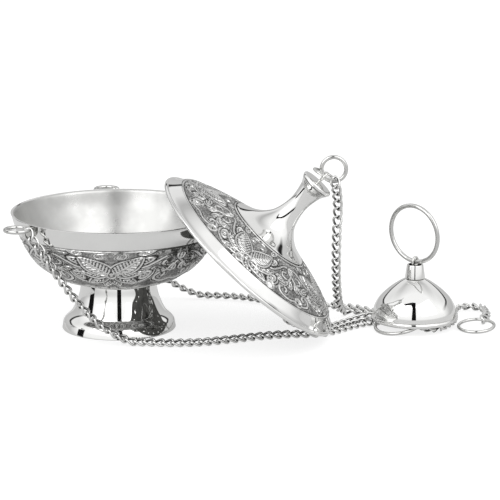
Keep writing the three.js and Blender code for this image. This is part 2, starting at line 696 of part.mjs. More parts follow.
const ROUTES = {
  chain_left: [
    [-46.3, -43.6, 61.8], [-43.4, -44, 58], [-38.6, -44, 51], [-32.4, -43.6, 41.6],
    [-24, -43, 29], [-13.4, -42.6, 16.5], [-2, -42.4, 7.4], [8.6, -42.6, 2.6],
    [19, -43.4, LAY], [32, -44.6, LAY],
    [46, -43.4, LAY], [62, -37.6, LAY], [80, -30, LAY], [94, -26, LAY], [106, -25, LAY],
    [115, -22.6, LAY], [122.4, -16.4, LAY], [130, -8.4, LAY], [136, -2.8, LAY], [140.6, 0.4, LAY],
    [143.2, 1.6, LAY], [145.2, 2, 1.9],
  ],
  chain_back: [
    [-3.6, 64.4, 61.8], [-1.8, 64.6, 57], [2.6, 64.8, 46], [9.4, 65, 33], [17, 65, 21],
    [25, 65, 12], [32.6, 65, 7.4], [41, 64.2, 3.8], [49, 63.4, 2], [56, 62.6, LAY], [63, 61.4, LAY],
    [72.6, 57.4, LAY], [82, 51.4, LAY], [93, 46.4, LAY], [104, 43, LAY], [116, 40, LAY],
    [127, 37, LAY], [138, 31.8, LAY], [146, 27.2, LAY], [152, 22.8, LAY],
    [155, 20.4, LAY], [156.9, 18.4, 2.5], [158.4, 16, 4.4], [158.8, 13, 6], [157.4, 9.4, 6.5],
    [156.2, 7.4, 6.4],
  ],
  chain_right: [
    [64.4, -29.4, 61.8], [65, -27, 55], [66.3, -21.5, 46], [69.2, -12.5, 36.4], [75, -1, 26],
    [81, 9.5, 17], [86, 19.5, 9], [90.4, 27.6, 4], [94.6, 33.4, 2.1], [99.6, 36, 1.8],
    [105, 33.6, LAY], [107, 27.6, LAY], [103.4, 22.4, LAY], [98, 18.6, LAY], [95.4, 13, LAY],
    [96.4, 6, LAY], [99.4, 0, LAY], [102.6, -5, LAY], [107, -10, LAY], [112.6, -12.6, LAY],
    [118.4, -10.6, LAY], [124, -5.4, LAY], [130, 0.8, LAY], [136.6, 7, LAY], [141.6, 10.4, LAY],
    [145.6, 9.6, LAY], [148.2, 7.4, 2.6], [149.8, 5.6, 4],
  ],
  lid_chain_upper: [
    [jumpEnd.x + 0.7, jumpEnd.y, jumpEnd.z - 2.8], [122.8, -12.6, 72], [122.4, -9, 55],
    [122.4, -4, 40], [122.8, 3.2, 25], [124, 11.4, 12.6], [125.6, 18.2, 5.6], [127.4, 23.6, 2.4],
  ],
  lid_chain_lower: [
    [129, 25.6, LAY], [135, 25.4, LAY], [142.5, 22.4, LAY], [149.4, 18.8, LAY], [155.6, 14.8, LAY],
    [161.9, 9, LAY], [166, 1.4, LAY], [168.4, -6.4, LAY], [171.4, -12.8, LAY],
    [176, -15.4, LAY], [181.4, -12.6, LAY], [185.4, -7, LAY], [188.2, 0.4, LAY],
    [189.6, 10.6, LAY], [190.2, 22, LAY], [193, 31.2, LAY], [199, 35.8, LAY], [205.4, 34, LAY],
    [208.8, 27.4, LAY], [209, 17, LAY], [207.4, 8, LAY], [206.3, 4, 2],
  ],
};

// A tube of the chain's thickness along its route.
function chainTube(points) {
  const curve = new THREE.CatmullRomCurve3(points.map((point) => new THREE.Vector3(...point)),
    false, 'centripetal');
  const section = new THREE.Shape();
  for (let side = 0; side <= CHAIN_SIDES; side += 1) {
    const angle = ((side + 0.5) * 2 * Math.PI) / CHAIN_SIDES;
    const radius = CHAIN_DIAMETER / 2;
    section[side ? 'lineTo' : 'moveTo'](radius * Math.cos(angle), radius * Math.sin(angle));
  }
  const steps = Math.round(curve.getLength() / CHAIN_STEP);
  return solid(new THREE.ExtrudeGeometry(section, { steps, extrudePath: curve, curveSegments: 1 }));
}

function buildChains() {
  for (const [name, points] of Object.entries(ROUTES)) {
    add(name, geometryOf(chainTube(points)), CHAIN);
  }
}

// Moves the origin to the middle of the box round everything but the chains.
function moveOrigin() {
  group.updateMatrixWorld(true);
  const middle = new THREE.Box3().setFromObject(group, true).getCenter(new THREE.Vector3());
  group.position.set(-middle.x, -middle.y, 0);
}

buildBowl();
buildLid();
buildCap();
buildLiftRing();
moveOrigin();
buildChains();

export default group;
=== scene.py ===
"""Dresses the laid-out thurible: linked chains, turned and embossed metal, studio.

Sizes are in millimetres in the layout's frame, whose origin is the middle of the bowl's foot.
Every mesh is put into the row's frame, in metres, when it is made.
"""

import logging
import math
from dataclasses import dataclass
from enum import Enum
from functools import cache
from typing import Sequence

import bpy
import numpy as np
from mathutils import Matrix, Vector


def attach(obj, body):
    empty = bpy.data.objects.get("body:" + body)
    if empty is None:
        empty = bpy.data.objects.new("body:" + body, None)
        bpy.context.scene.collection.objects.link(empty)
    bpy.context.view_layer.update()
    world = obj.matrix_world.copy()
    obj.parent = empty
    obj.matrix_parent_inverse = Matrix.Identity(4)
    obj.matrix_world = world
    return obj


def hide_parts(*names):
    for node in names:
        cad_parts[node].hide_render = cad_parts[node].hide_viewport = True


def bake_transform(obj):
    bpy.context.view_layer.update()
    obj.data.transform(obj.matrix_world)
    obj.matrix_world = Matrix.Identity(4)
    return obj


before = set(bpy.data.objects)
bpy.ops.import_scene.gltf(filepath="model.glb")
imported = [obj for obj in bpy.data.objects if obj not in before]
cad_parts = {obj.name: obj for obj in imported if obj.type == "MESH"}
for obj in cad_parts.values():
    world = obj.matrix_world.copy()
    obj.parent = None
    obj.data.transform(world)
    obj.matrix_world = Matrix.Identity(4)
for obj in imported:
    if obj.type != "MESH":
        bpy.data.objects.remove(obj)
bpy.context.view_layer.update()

LOG = logging.getLogger("thurible")
ORIGIN = np.array([75.72292, -5.23271, 0.0])
# Air between parts that are fitted together
GAP = 0.3
# Dark tone for the tarnish in the embossing's hollows, also used as painted shade on the chain
# links
TARNISH_AND_SHADE = (0.03, 0.0295, 0.028)
NUMBER, COLOUR = "NodeSocketFloat", "NodeSocketColor"

Points = Sequence[Sequence[float]]
Shape = tuple[np.ndarray, np.ndarray]
Link = tuple[bpy.types.Node, str | int, bpy.types.Node, str | int]


class Slot(Enum):
    """The record's material slots."""

    POLISHED = "polished"
    SATIN = "satin"
    CHAIN = "chain"


# Frames and curves


def to_row(points: Points) -> np.ndarray:
    """Layout millimetres to the row's metres."""
    return (np.asarray(points, dtype=float) - ORIGIN) / 1000.0


def place(x: float = 0, y: float = 0, z: float = 0, *turns: tuple[str, float]) -> Matrix:
    """A matrix that turns a piece and then moves it.

    Args:
        x: millimetres to the right.
        y: millimetres away from the camera.
        z: millimetres up.
        turns: pairs of an axis letter and degrees, the outermost first.

    Returns:
        The 4 by 4 matrix.
    """
    matrix = Matrix.Translation((x, y, z))
    for axis, degrees in turns:
        matrix = matrix @ Matrix.Rotation(math.radians(degrees), 4, axis)
    return matrix


def moved(shape: Shape, matrix: Matrix) -> Shape:
    """A shape after the matrix."""
    turn = np.array(matrix)
    return shape[0] @ turn[:3, :3].T + turn[:3, 3], shape[1]


def unit(vectors: np.ndarray) -> np.ndarray:
    """Each row of an array, made 1 long."""
    return vectors / np.linalg.norm(vectors, axis=1)[:, None]


def circle(steps: int, shift: float = 0.0) -> np.ndarray:
    """Even angles once round, the first one at a share of a step."""
    return (np.arange(steps) + shift) * 2 * math.pi / steps


def distance_along(line: np.ndarray) -> np.ndarray:
    """Distance along a line, at each of its points."""
    return np.concatenate([[0.0], np.cumsum(np.linalg.norm(np.diff(line, axis=0), axis=1))])


def spline(points: Points, per_span: int, centripetal: bool = False) -> np.ndarray:
    """A Catmull-Rom curve through the points.

    Each span is a cubic whose end slopes come from its neighbours. The ends mirror their
    last span. Centripetal spacing uses the square root of each span's length.

    Args:
        points: the points that the curve passes through, in 2-D or 3-D.
        per_span: how many steps each span gets.
        centripetal: whether spans are spaced by their length.

    Returns:
        The points on the curve, the last one included.
    """
    given = np.asarray(points, dtype=float)
    ends = np.vstack([2 * given[:1] - given[1:2], given, 2 * given[-1:] - given[-2:-1]])
    step = np.linalg.norm(np.diff(ends, axis=0), axis=1)
    width = np.sqrt(step) if centripetal else np.ones_like(step)
    share = np.linspace(0, 1, per_span, endpoint=False)[:, None]
    pieces = []
    for i in range(len(given) - 1):
        p0, p1, p2, p3 = ends[i:i + 4]
        w0, w1, w2 = width[i:i + 3]
        m1 = w1 * ((p1 - p0) / w0 - (p2 - p0) / (w0 + w1) + (p2 - p1) / w1)
        m2 = w1 * ((p2 - p1) / w1 - (p3 - p1) / (w1 + w2) + (p3 - p2) / w2)
        square = (-3 * p1 + 3 * p2 - 2 * m1 - m2) * share**2
        pieces.append(p1 + m1 * share + square + (2 * p1 - 2 * p2 + m1 + m2) * share**3)
    return np.vstack([*pieces, given[-1:]])


def resampled(points: np.ndarray, spacing: float) -> np.ndarray:
    """The same line with even steps.

    Args:
        points: the line's points.
        spacing: about how far apart the new points are.

    Returns:
        Points at even distances along the line, both ends kept.
    """
    along = distance_along(points)
    wanted = np.linspace(0, along[-1], max(2, int(round(along[-1] / spacing)) + 1))
    return np.stack([np.interp(wanted, along, column) for column in points.T], 1)


def from_shares(shares: Points, corner: Sequence[float], size: Sequence[float]) -> np.ndarray:
    """Radius and height of points given as shares of a size, counted from a corner."""
    return np.asarray(shares) * size + corner


def offset(profile: np.ndarray, wall: float) -> np.ndarray:
    """An open profile moved sideways: each point goes to the right of its direction of travel."""
    along = unit(np.gradient(profile, axis=0))
    return profile + wall * np.stack([along[:, 1], -along[:, 0]], 1)


def rolled_lip(radius: float, roll: float, end: float) -> np.ndarray:
    """A bead's profile from its lowest point outwards: an arc of the roll's radius.

    Args:
        radius: how far out the bead reaches.
        roll: the arc's own radius.
        end: the half turns from straight out at which the arc stops.

    Returns:
        Nine points.
    """
    turn = np.linspace(-0.5, end, 9) * math.pi
    return np.stack([radius - roll + roll * np.cos(turn), roll + roll * np.sin(turn)], 1)


# Meshes


def grid_faces(rows: int, columns: int) -> np.ndarray:
    """Quads of a grid that closes on itself both ways, its vertices numbered row by row.

    Args:
        rows: how many rows of vertices.
        columns: how many vertices in a row.

    Returns:
        An array of four vertex numbers per face.
    """
    i, j = np.indices((rows, columns))
    i2, j2 = (i + 1) % rows, (j + 1) % columns
    quads = [i * columns + j, i2 * columns + j, i2 * columns + j2, i * columns + j2]
    return np.stack(quads, -1).reshape(-1, 4)


def facing_out(shape: Shape) -> Shape:
    """Turns the faces of a closed mesh about where its signed volume is negative.

    Args:
        shape: the points and quads.

    Returns:
        The same mesh with its faces pointing out.
    """
    points, faces = shape
    a, b, c, d = (points[faces[:, k]] for k in range(4))
    inside_out = np.sum(a * np.cross(b, c) + a * np.cross(c, d)) < 0
    return points, faces[:, ::-1] if inside_out else faces


def joined(*shapes: Shape) -> Shape:
    """Several closed meshes as one, each turned to face out.

    Args:
        shapes: the meshes.

    Returns:
        The points and quads of all of them.
    """
    outward = [facing_out(shape) for shape in shapes]
    starts = np.cumsum([0] + [len(points) for points, _ in outward])
    faces = [quads + start for (_, quads), start in zip(outward, starts)]
    return np.vstack([points for points, _ in outward]), np.vstack(faces)


def turned(profile: np.ndarray, segments: int, relief: np.ndarray | float = 0.0) -> Shape:
    """A closed profile turned round the Z axis.

    A point (r, h) of the profile goes to (r cos a, r sin a, h) at each angle a. Relief
    moves it along the profile's own normal.

    Args:
        profile: radius and height of each point of the loop, the first one not repeated.
        segments: how many steps go round.
        relief: how far each point moves out, one row per step round, or one for all.

    Returns:
        The closed mesh.
    """
    along = unit(np.roll(profile, -1, axis=0) - np.roll(profile, 1, axis=0))
    radius = profile[:, 0] + relief * along[:, 1]
    height = profile[:, 1] - relief * along[:, 0]
    angle = circle(segments)[:, None]
    grid = np.broadcast_arrays(radius * np.cos(angle), radius * np.sin(angle), height)
    return np.stack(grid, -1).reshape(-1, 3), grid_faces(segments, len(profile))


def embossed(profile: np.ndarray, start: int, raised: np.ndarray,
             depth: float) -> tuple[Shape, np.ndarray]:
    """A closed profile turned round the Z axis, with a stretch of it embossed.

    Args:
        profile: radius and height of each point of the loop.
        start: the number of the stretch's first point.
        raised: heights from 0 to 1, one row per step round, one column per point of the stretch.
        depth: how deep the ground lies.

    Returns:
        The closed mesh, and the height of each vertex, which is 1 off the stretch.
    """
    heights = np.ones((len(raised), len(profile)))
    heights[:, start:start + raised.shape[1]] = raised
    return turned(profile, len(raised), -depth * (1 - heights)), heights.ravel()


def hoop(radius: float, wire: float, steps: int = 72, sides: int = 20) -> Shape:
    """A wire ring round the Z axis: a circle of the wire's radius carried round a larger one.

    Args:
        radius: to the middle of the wire.
        wire: the wire's diameter.
        steps: how many steps go round the ring.
        sides: how many go round the wire.

    Returns:
        The closed mesh.
    """
    turn = circle(sides)
    profile = np.stack([radius + wire / 2 * np.cos(turn), wire / 2 * np.sin(turn)], 1)
    return turned(profile, steps)


def leaning_hoop(radius: float, wire: float, tilt: float, x: float, y: float,
                 azimuth: float) -> Shape:
    """A ring whose low edge lies on the table.

    Args:
        radius: to the middle of the wire.
        wire: the wire's diameter.
        tilt: how steeply it leans, in degrees.
        x: where its high edge is.
        y: the same.
        azimuth: the direction from its high edge to its low one, in degrees.

    Returns:
        The closed mesh.
    """
    points, faces = hoop(radius, wire, steps=120)
    height = wire / 2 + 2 * radius * math.sin(math.radians(tilt))
    return moved((points + (radius, 0, 0), faces),
                 place(x, y, height, ("Z", azimuth), ("Y", tilt)))


def eye_bolt(radius: float, wire: float, shank: float, low: float, centre: float,
             *turns: tuple[str, float]) -> Shape:
    """An eye on a round shank along the Z axis, whose edges are eased.

    Args:
        radius: the eye's, to the middle of its wire.
        wire: the wire's diameter.
        shank: the shank's radius.
        low: the height of the shank's end.
        centre: the height of the eye's middle.
        turns: how the eye is turned from lying flat.

    Returns:
        The closed mesh.
    """
    pin, edge, high = 0.02, 0.15, centre - radius
    rod = turned(np.array([
        (pin, low), (shank - edge, low), (shank, low + edge), (shank, high - edge),
        (shank - edge, high), (pin, high),
    ]), segments=40)
    eye = moved(hoop(radius, wire, steps=48, sides=14), place(0, 0, centre, *turns))
    return joined(eye, rod)


def at_corners(quads: np.ndarray) -> np.ndarray:
    """Which points touch a marked quad, on a grid that is closed round and open along.

    Args:
        quads: the marks, by step round and row.

    Returns:
        A mark per point, one more in each row.
    """
    wide = np.pad(quads, ((0, 0), (1, 1)))
    near = wide[:, 1:] | wide[:, :-1]
    return near | np.roll(near, 1, axis=0)


def hole_walls(gone: np.ndarray, start: int, columns: int) -> np.ndarray:
    """Quads that join the outer border of each hole in a turned shell to its inner one.

    Args:
        gone: which quads between the outer rows are left out, by step round and row.
        start: the number of the first outer row. The inner rows follow in reverse.
        columns: how many points the whole profile has.

    Returns:
        An array of four vertex numbers per face.
    """
    far = start + 2 * gone.shape[1] + 1
    i, j = np.nonzero(gone)
    wide = np.pad(gone, ((0, 0), (1, 1)))
    quads = []
    for hidden, *ends in (
        (wide[i, j], (0, 0), (1, 0)),
        (np.roll(gone, -1, axis=0)[i, j], (1, 0), (1, 1)),
        (wide[i, j + 2], (1, 1), (0, 1)),
        (np.roll(gone, 1, axis=0)[i, j], (0, 1), (0, 0)),
    ):
        (a, a_row), (b, b_row) = (
            ((i[~hidden] + turn) % len(gone) * columns, j[~hidden] + row) for turn, row in ends
        )
        quads.append(np.stack([
            a + start + a_row, b + start + b_row, b + far - b_row, a + far - a_row,
        ], 1))
    return np.vstack(quads)


def make(name: str, shape: Shape, finish: "Finish | Sequence[Finish]", body: str | None,
         node: str, relief: np.ndarray | None = None, crease: float = 40.0,
         which: np.ndarray | None = None) -> bpy.types.Object:
    """Makes a closed piece, dresses it and lets it ride on its body.

    Args:
        name: the piece's name.
        shape: its vertices in layout millimetres, and its quads.
        finish: what it is made of, or its finishes with the main one first.
        body: the CAD body that it rides on, or None where it is left without one.
        node: the CAD node that it replaces.
        relief: a number per vertex, kept as an attribute.
        crease: edges bent more than these degrees stay sharp.
        which: the number of each quad's finish, where there are several.

    Returns:
        The new object.
    """
    finishes = [finish] if isinstance(finish, Finish) else finish
    points, faces = facing_out(shape)
    mesh = bpy.data.meshes.new(name)
    mesh.vertices.add(len(points))
    mesh.vertices.foreach_set("co", to_row(points).astype(np.float32).ravel())
    mesh.loops.add(faces.size)
    mesh.loops.foreach_set("vertex_index", faces.astype(np.int32).ravel())
    mesh.polygons.add(len(faces))
    mesh.polygons.foreach_set("loop_start", np.arange(0, faces.size, 4, dtype=np.int32))
    for each in finishes:
        mesh.materials.append(each.material())
    if which is not None:
        mesh.polygons.foreach_set("material_index", which.astype(np.int32))
    mesh.update(calc_edges=True)
    mesh.validate()
    mesh.polygons.foreach_set("use_smooth", np.ones(len(mesh.polygons), dtype=bool))
    mesh.set_sharp_from_angle(angle=math.radians(crease))
    if relief is not None:
        layer = mesh.attributes.new("relief", "FLOAT", "POINT")
        layer.data.foreach_set("value", relief.astype(np.float32))
    piece = add_object(name, mesh)
    if body:
        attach(piece, body)
    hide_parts(node)
    LOG.info("%s: %d faces on %s", name, len(faces), body or "two bodies")
    return piece


def add_object(name: str, data: bpy.types.ID) -> bpy.types.Object:
    """A new object in the scene.

    Args:
        name: its name.
        data: its mesh, light or camera.

    Returns:
        The object.
    """
    added = bpy.data.objects.new(name, data)
    bpy.context.scene.collection.objects.link(added)
    return added


def dress(name: str, finish: "Finish") -> None:
    """Gives a CAD node's object a finish.

    Args:
        name: the node.
        finish: what it is made of.
    """
    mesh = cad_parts[name].data
    mesh.materials.clear()
    mesh.materials.append(finish.material())


# Finishes


def add_node(tree: bpy.types.NodeTree, kind: str, **values: object) -> bpy.types.Node:
    """A new shader node with its properties or inputs set.

    Args:
        tree: the tree that the node goes into.
        kind: the node's type name, without the ShaderNode that it starts with.
        values: properties, or inputs where no such property exists.

    Returns:
        The node.
    """
    node = tree.nodes.new("ShaderNode" + kind)
    for key, value in values.items():
        if hasattr(node, key):
            setattr(node, key, value)
        else:
            node.inputs[key.replace("_", " ")].default_value = value
    return node


def connect(tree: bpy.types.NodeTree, *links: Link) -> None:
    """Links nodes, each link given as a node, its output, another node and its input."""
    for source, output, target, entry in links:
        tree.links.new(source.outputs[output], target.inputs[entry])


def new_group(
    name: str, inputs: dict[str, str]
) -> tuple[bpy.types.NodeTree, bpy.types.Node, bpy.types.Node, bpy.types.Node]:
    """A node group that puts out a colour and a roughness.

    Args:
        name: the group's name.
        inputs: the names of its inputs with their socket types.

    Returns:
        The group, its input node, its output node and its texture coordinates.
    """
    group = bpy.data.node_groups.new(name, "ShaderNodeTree")
    for title, kind in inputs.items():
        group.interface.new_socket(title, in_out="INPUT", socket_type=kind)
    for title, kind in (("Color", COLOUR), ("Roughness", NUMBER)):
        group.interface.new_socket(title, in_out="OUTPUT", socket_type=kind)
    start, end = group.nodes.new("NodeGroupInput"), group.nodes.new("NodeGroupOutput")
    return group, start, end, add_node(group, "TexCoord")


@cache
def smudge_group() -> bpy.types.NodeTree:
    """Cloudy handling marks: noise on object coordinates, as a tone and a roughness that vary.

    Returns:
        The node group, made once.
    """
    group, start, end, where = new_group(
        "smudge", {"Low": NUMBER, "High": NUMBER, "Clean": COLOUR, "Dull": COLOUR})
    noise = add_node(group, "TexNoise", Scale=60.0, Detail=3.0, Roughness=0.6)
    cloud = add_node(group, "MapRange", From_Min=0.35, From_Max=0.65)
    spread = add_node(group, "MapRange")
    tint = add_node(group, "Mix", data_type="RGBA")
    connect(
        group, (where, "Object", noise, "Vector"), (noise, "Fac", cloud, "Value"),
        (cloud, "Result", spread, "Value"), (cloud, "Result", tint, "Factor"),
        (start, "Clean", tint, 6), (start, "Dull", tint, 7), (tint, 2, end, "Color"),
        (start, "Low", spread, "To Min"), (start, "High", spread, "To Max"),
        (spread, "Result", end, "Roughness"),
    )
    return group


@cache
def patina_and_shade_group() -> bpy.types.NodeTree:
    """Dark tarnish in the hollows of the embossing, rubbed off its raised lines, and painted
    shade on the inner sides of the chain links.

    The mask comes from the mesh's own relief attribute, roughened by a fine noise.

    Returns:
        The node group, made once.
    """
    hollow, rubbed = 0.3, 0.95
    group, start, end, where = new_group("patina_and_shade", {"Bright": COLOUR, "Dark": COLOUR})
    relief = add_node(group, "Attribute", attribute_name="relief")
    noise = add_node(group, "TexNoise", Scale=900.0, Detail=2.0)
    wobble = add_node(group, "Math", operation="MULTIPLY_ADD")
    wobble.inputs[1].default_value = 0.5
    ramp = add_node(group, "ValToRGB")
    for element, position in zip(ramp.color_ramp.elements, (hollow, rubbed)):
        element.position = position
    mix = add_node(group, "Mix", data_type="RGBA")
    rough = add_node(group, "MapRange", To_Min=0.5, To_Max=0.14)
    connect(
        group, (where, "Object", noise, "Vector"), (noise, "Fac", wobble, 0),
        (relief, "Fac", wobble, 2), (wobble, 0, ramp, "Fac"), (ramp, "Color", mix, "Factor"),
        (start, "Dark", mix, 6), (start, "Bright", mix, 7), (mix, 2, end, "Color"),
        (ramp, "Color", rough, "Value"), (rough, "Result", end, "Roughness"),
    )
    return group


@dataclass(frozen=True)
class Finish:
    """A metal surface.

    Attributes:
        name: the material's name.
        slot: the record's slot that it belongs to. It is not used.
        tone: linear grey of the metal.
        rough: roughness where it is cleanest and where it is handled most. A finish without
        it is darkened where the relief attribute is low: tarnish in the embossing's hollows,
        painted shade on the inner sides of the chain links.
        dull: share of the tone lost where it is handled most, or sooted.
    """

    name: str
    slot: Slot
    tone: tuple[float, float, float]
    rough: tuple[float, float] | None = None
    dull: float = 0.05

    @cache
    def material(self) -> bpy.types.Material:
        """The finish as a material.

        Returns:
            The material, made once.
        """
        material = bpy.data.materials.new(self.name)
        material.use_nodes = True
        tree = material.node_tree
        shader = tree.nodes["Principled BSDF"]
        shader.inputs["Metallic"].default_value = 1.0
        bright = (*self.tone, 1.0)
        if self.rough:
            low, high = self.rough
            dull = (*(part * (1 - self.dull) for part in self.tone), 1.0)
            group = add_node(tree, "Group", node_tree=smudge_group(), Low=low, High=high,
                             Clean=bright, Dull=dull)
        else:
            group = add_node(tree, "Group", node_tree=patina_and_shade_group(), Bright=bright,
                             Dark=(*TARNISH_AND_SHADE, 1.0))
        connect(tree, (group, "Color", shader, "Base Color"),
                (group, "Roughness", shader, "Roughness"))
        return material


MIRROR = Finish("mirror_plate", Slot.POLISHED, (0.84, 0.84, 0.83), (0.03, 0.06), 0.03)
EMBOSSED = Finish("embossed_plate", Slot.POLISHED, (0.8, 0.8, 0.79))
SATIN = Finish("satin_plate", Slot.SATIN, (0.72, 0.72, 0.7), (0.2, 0.32))
# The chain links' dark side is painted shade, taken from their relief attribute.
LINKS = Finish("chain_plate", Slot.CHAIN, (0.74, 0.74, 0.73))
WIRE = Finish("ring_wire", Slot.POLISHED, (0.66, 0.66, 0.65), (0.1, 0.18))
INSIDE = Finish("inner_satin", Slot.POLISHED, (0.59, 0.59, 0.58), (0.27, 0.38), 0.1)
# Painted shade: a dark tone under the lid and inside its neck, where shade falls.
PAINTED_SHADE_UNDERSIDE = Finish("painted_shade_satin", Slot.POLISHED, (0.165, 0.165, 0.158), (0.28, 0.44), 0.3)


# Camera, light and floor


@dataclass
class Studio:
    """White floor, soft boxes, dark cards and the photograph's camera.

    Attributes:
        target: what the camera and the lights look at.
        elevation: how many degrees the camera looks down.
        distance: how far the camera is from the target.
        lens: its focal length.
        shine: how strongly the floor shines to the camera. Reflections see half of it.
        dark: the tone of the dark cards.
        front: tones of the surroundings before the part, as pairs of height and tone.
        back: the same behind the part.
    """

    target: tuple[float, float, float] = (74.0, 0.0, 44.3)
    elevation: float = 13.0
    distance: float = 1600.0
    lens: float = 205.0
    shine: float = 0.8
    dark: float = 0.01
    front: tuple[tuple[float, float], ...] = ((0.0, 0.6), (0.1, 0.88), (0.4, 1.0), (1.0, 0.9))
    back: tuple[tuple[float, float], ...] = (
        (0.0, 0.46), (0.33, 0.55), (0.355, 0.02), (0.4, 0.02), (0.44, 0.78), (0.7, 0.74),
        (0.85, 0.46), (1.0, 0.55),
    )

    def camera(self) -> None:
        """The camera of the photograph, level and on the part's front."""
        data = bpy.data.cameras.new("camera")
        data.lens = self.lens
        data.sensor_width = 36.0
        data.clip_start, data.clip_end = 0.05, 20.0
        seen = add_object("camera", data)
        lift = math.radians(self.elevation)
        out = Vector((0.0, -math.cos(lift), math.sin(lift)))
        seen.location = Vector(to_row(self.target)) + out * self.distance / 1000.0
        seen.rotation_euler = (-out).to_track_quat("-Z", "Y").to_euler()
        bpy.context.scene.camera = seen

    def card(self, name: str, centre: Sequence[float], size: tuple[float, float],
             facing: Sequence[float], grey: float) -> bpy.types.Object:
        """A flat card for the stage.

        Args:
            name: its name.
            centre: its middle.
            size: width and height.
            facing: the direction of its normal.
            grey: its diffuse tone.

        Returns:
            The card.
        """
        mesh = bpy.data.meshes.new(name)
        w, h = size[0] / 2000.0, size[1] / 2000.0
        mesh.from_pydata([(-w, -h, 0), (w, -h, 0), (w, h, 0), (-w, h, 0)], [], [(0, 1, 2, 3)])
        card = add_object(name, mesh)
        card.location = to_row(centre)
        card.rotation_euler = Vector(facing).to_track_quat("Z", "Y").to_euler()
        material = bpy.data.materials.new(name)
        material.use_nodes = True
        shader = material.node_tree.nodes["Principled BSDF"]
        shader.inputs["Base Color"].default_value = (grey, grey, grey, 1.0)
        shader.inputs["Roughness"].default_value = 0.9
        shader.inputs["Specular IOR Level"].default_value = 0.0
        mesh.materials.append(material)
        return card

    def floor(self) -> None:
        """The floor, which shines by itself: fully to the camera, by half in reflections."""
        floor = self.card("floor", (75, 0, -0.05), (9000, 9000), (0, 0, 1), 0.3)
        tree = floor.data.materials[0].node_tree
        shader = tree.nodes["Principled BSDF"]
        shader.inputs["Emission Color"].default_value = (1.0, 1.0, 1.0, 1.0)
        path = add_node(tree, "LightPath")
        strength = add_node(tree, "MapRange", To_Min=0.5 * self.shine, To_Max=self.shine)
        connect(tree, (path, "Is Camera Ray", strength, "Value"),
                (strength, "Result", shader, "Emission Strength"))

    def light(self, name: str, centre: Sequence[float], side: float, power: float) -> None:
        """A square soft box that looks at the middle of the part.

        Args:
            name: its name.
            centre: its middle.
            side: how wide it is.
            power: watts.
        """
        data = bpy.data.lights.new(name, "AREA")
        data.shape = "RECTANGLE"
        data.size = data.size_y = side / 1000.0
        data.energy = power
        lamp = add_object(name, data)
        lamp.location = to_row(centre)
        aim = Vector(to_row(self.target)) - lamp.location
        lamp.rotation_euler = aim.to_track_quat("-Z", "Y").to_euler()

    def surroundings(self) -> None:
        """A white room. Behind the part its wall is grey up to a dark ledge.

        Its tone runs over the height z of a direction: front tones where y is below 0, back
        tones where it is above 0.45, and a blend between.
        """
        world = bpy.data.worlds.new("surroundings")
        world.use_nodes = True
        tree = world.node_tree
        where = add_node(tree, "TexCoord")
        split = add_node(tree, "SeparateXYZ")
        behind = add_node(tree, "MapRange", From_Max=0.45)
        mix = add_node(tree, "Mix", data_type="RGBA")
        for entry, stops in ((6, self.front), (7, self.back)):
            ramp = add_node(tree, "ValToRGB")
            elements = ramp.color_ramp.elements
            for index, (height, tone) in enumerate(stops):
                stop = elements[index] if index < 2 else elements.new(height)
                stop.position = height
                stop.color = (tone, tone, tone, 1.0)
            connect(tree, (split, "Z", ramp, "Fac"), (ramp, "Color", mix, entry))
        background = tree.nodes["Background"]
        background.inputs["Strength"].default_value = 1.2
        connect(
            tree, (where, "Generated", split, "Vector"), (split, "Y", behind, "Value"),
            (behind, "Result", mix, "Factor"), (mix, 2, background, "Color"),
        )
        bpy.context.scene.world = world

    def build(self) -> None:
        """Sets up floor, dark cards, soft boxes and surroundings."""
        self.floor()
        for name, centre, size, facing in (
            ("strip_left", (-691, -110, 220), (200, 420), (0.99, 0.15, 0)),
            ("post", (75, -1100, 640), (230, 1180), (0, 1, 0)),
            ("boom", (75, -760, 1235), (230, 700), (0, 0, -1)),
            ("boom_arm", (-180, -480, 1240), (520, 170), (0, 0, -1)),
        ):
            self.card(name, centre, size, facing, self.dark).visible_camera = False
        self.light("key", (-620, -760, 900), side=1100, power=4.0)
        self.light("fill", (760, -700, 900), side=1100, power=3.0)
        self.surroundings()
        bpy.context.scene.view_settings.view_transform = "Standard"


# Chains


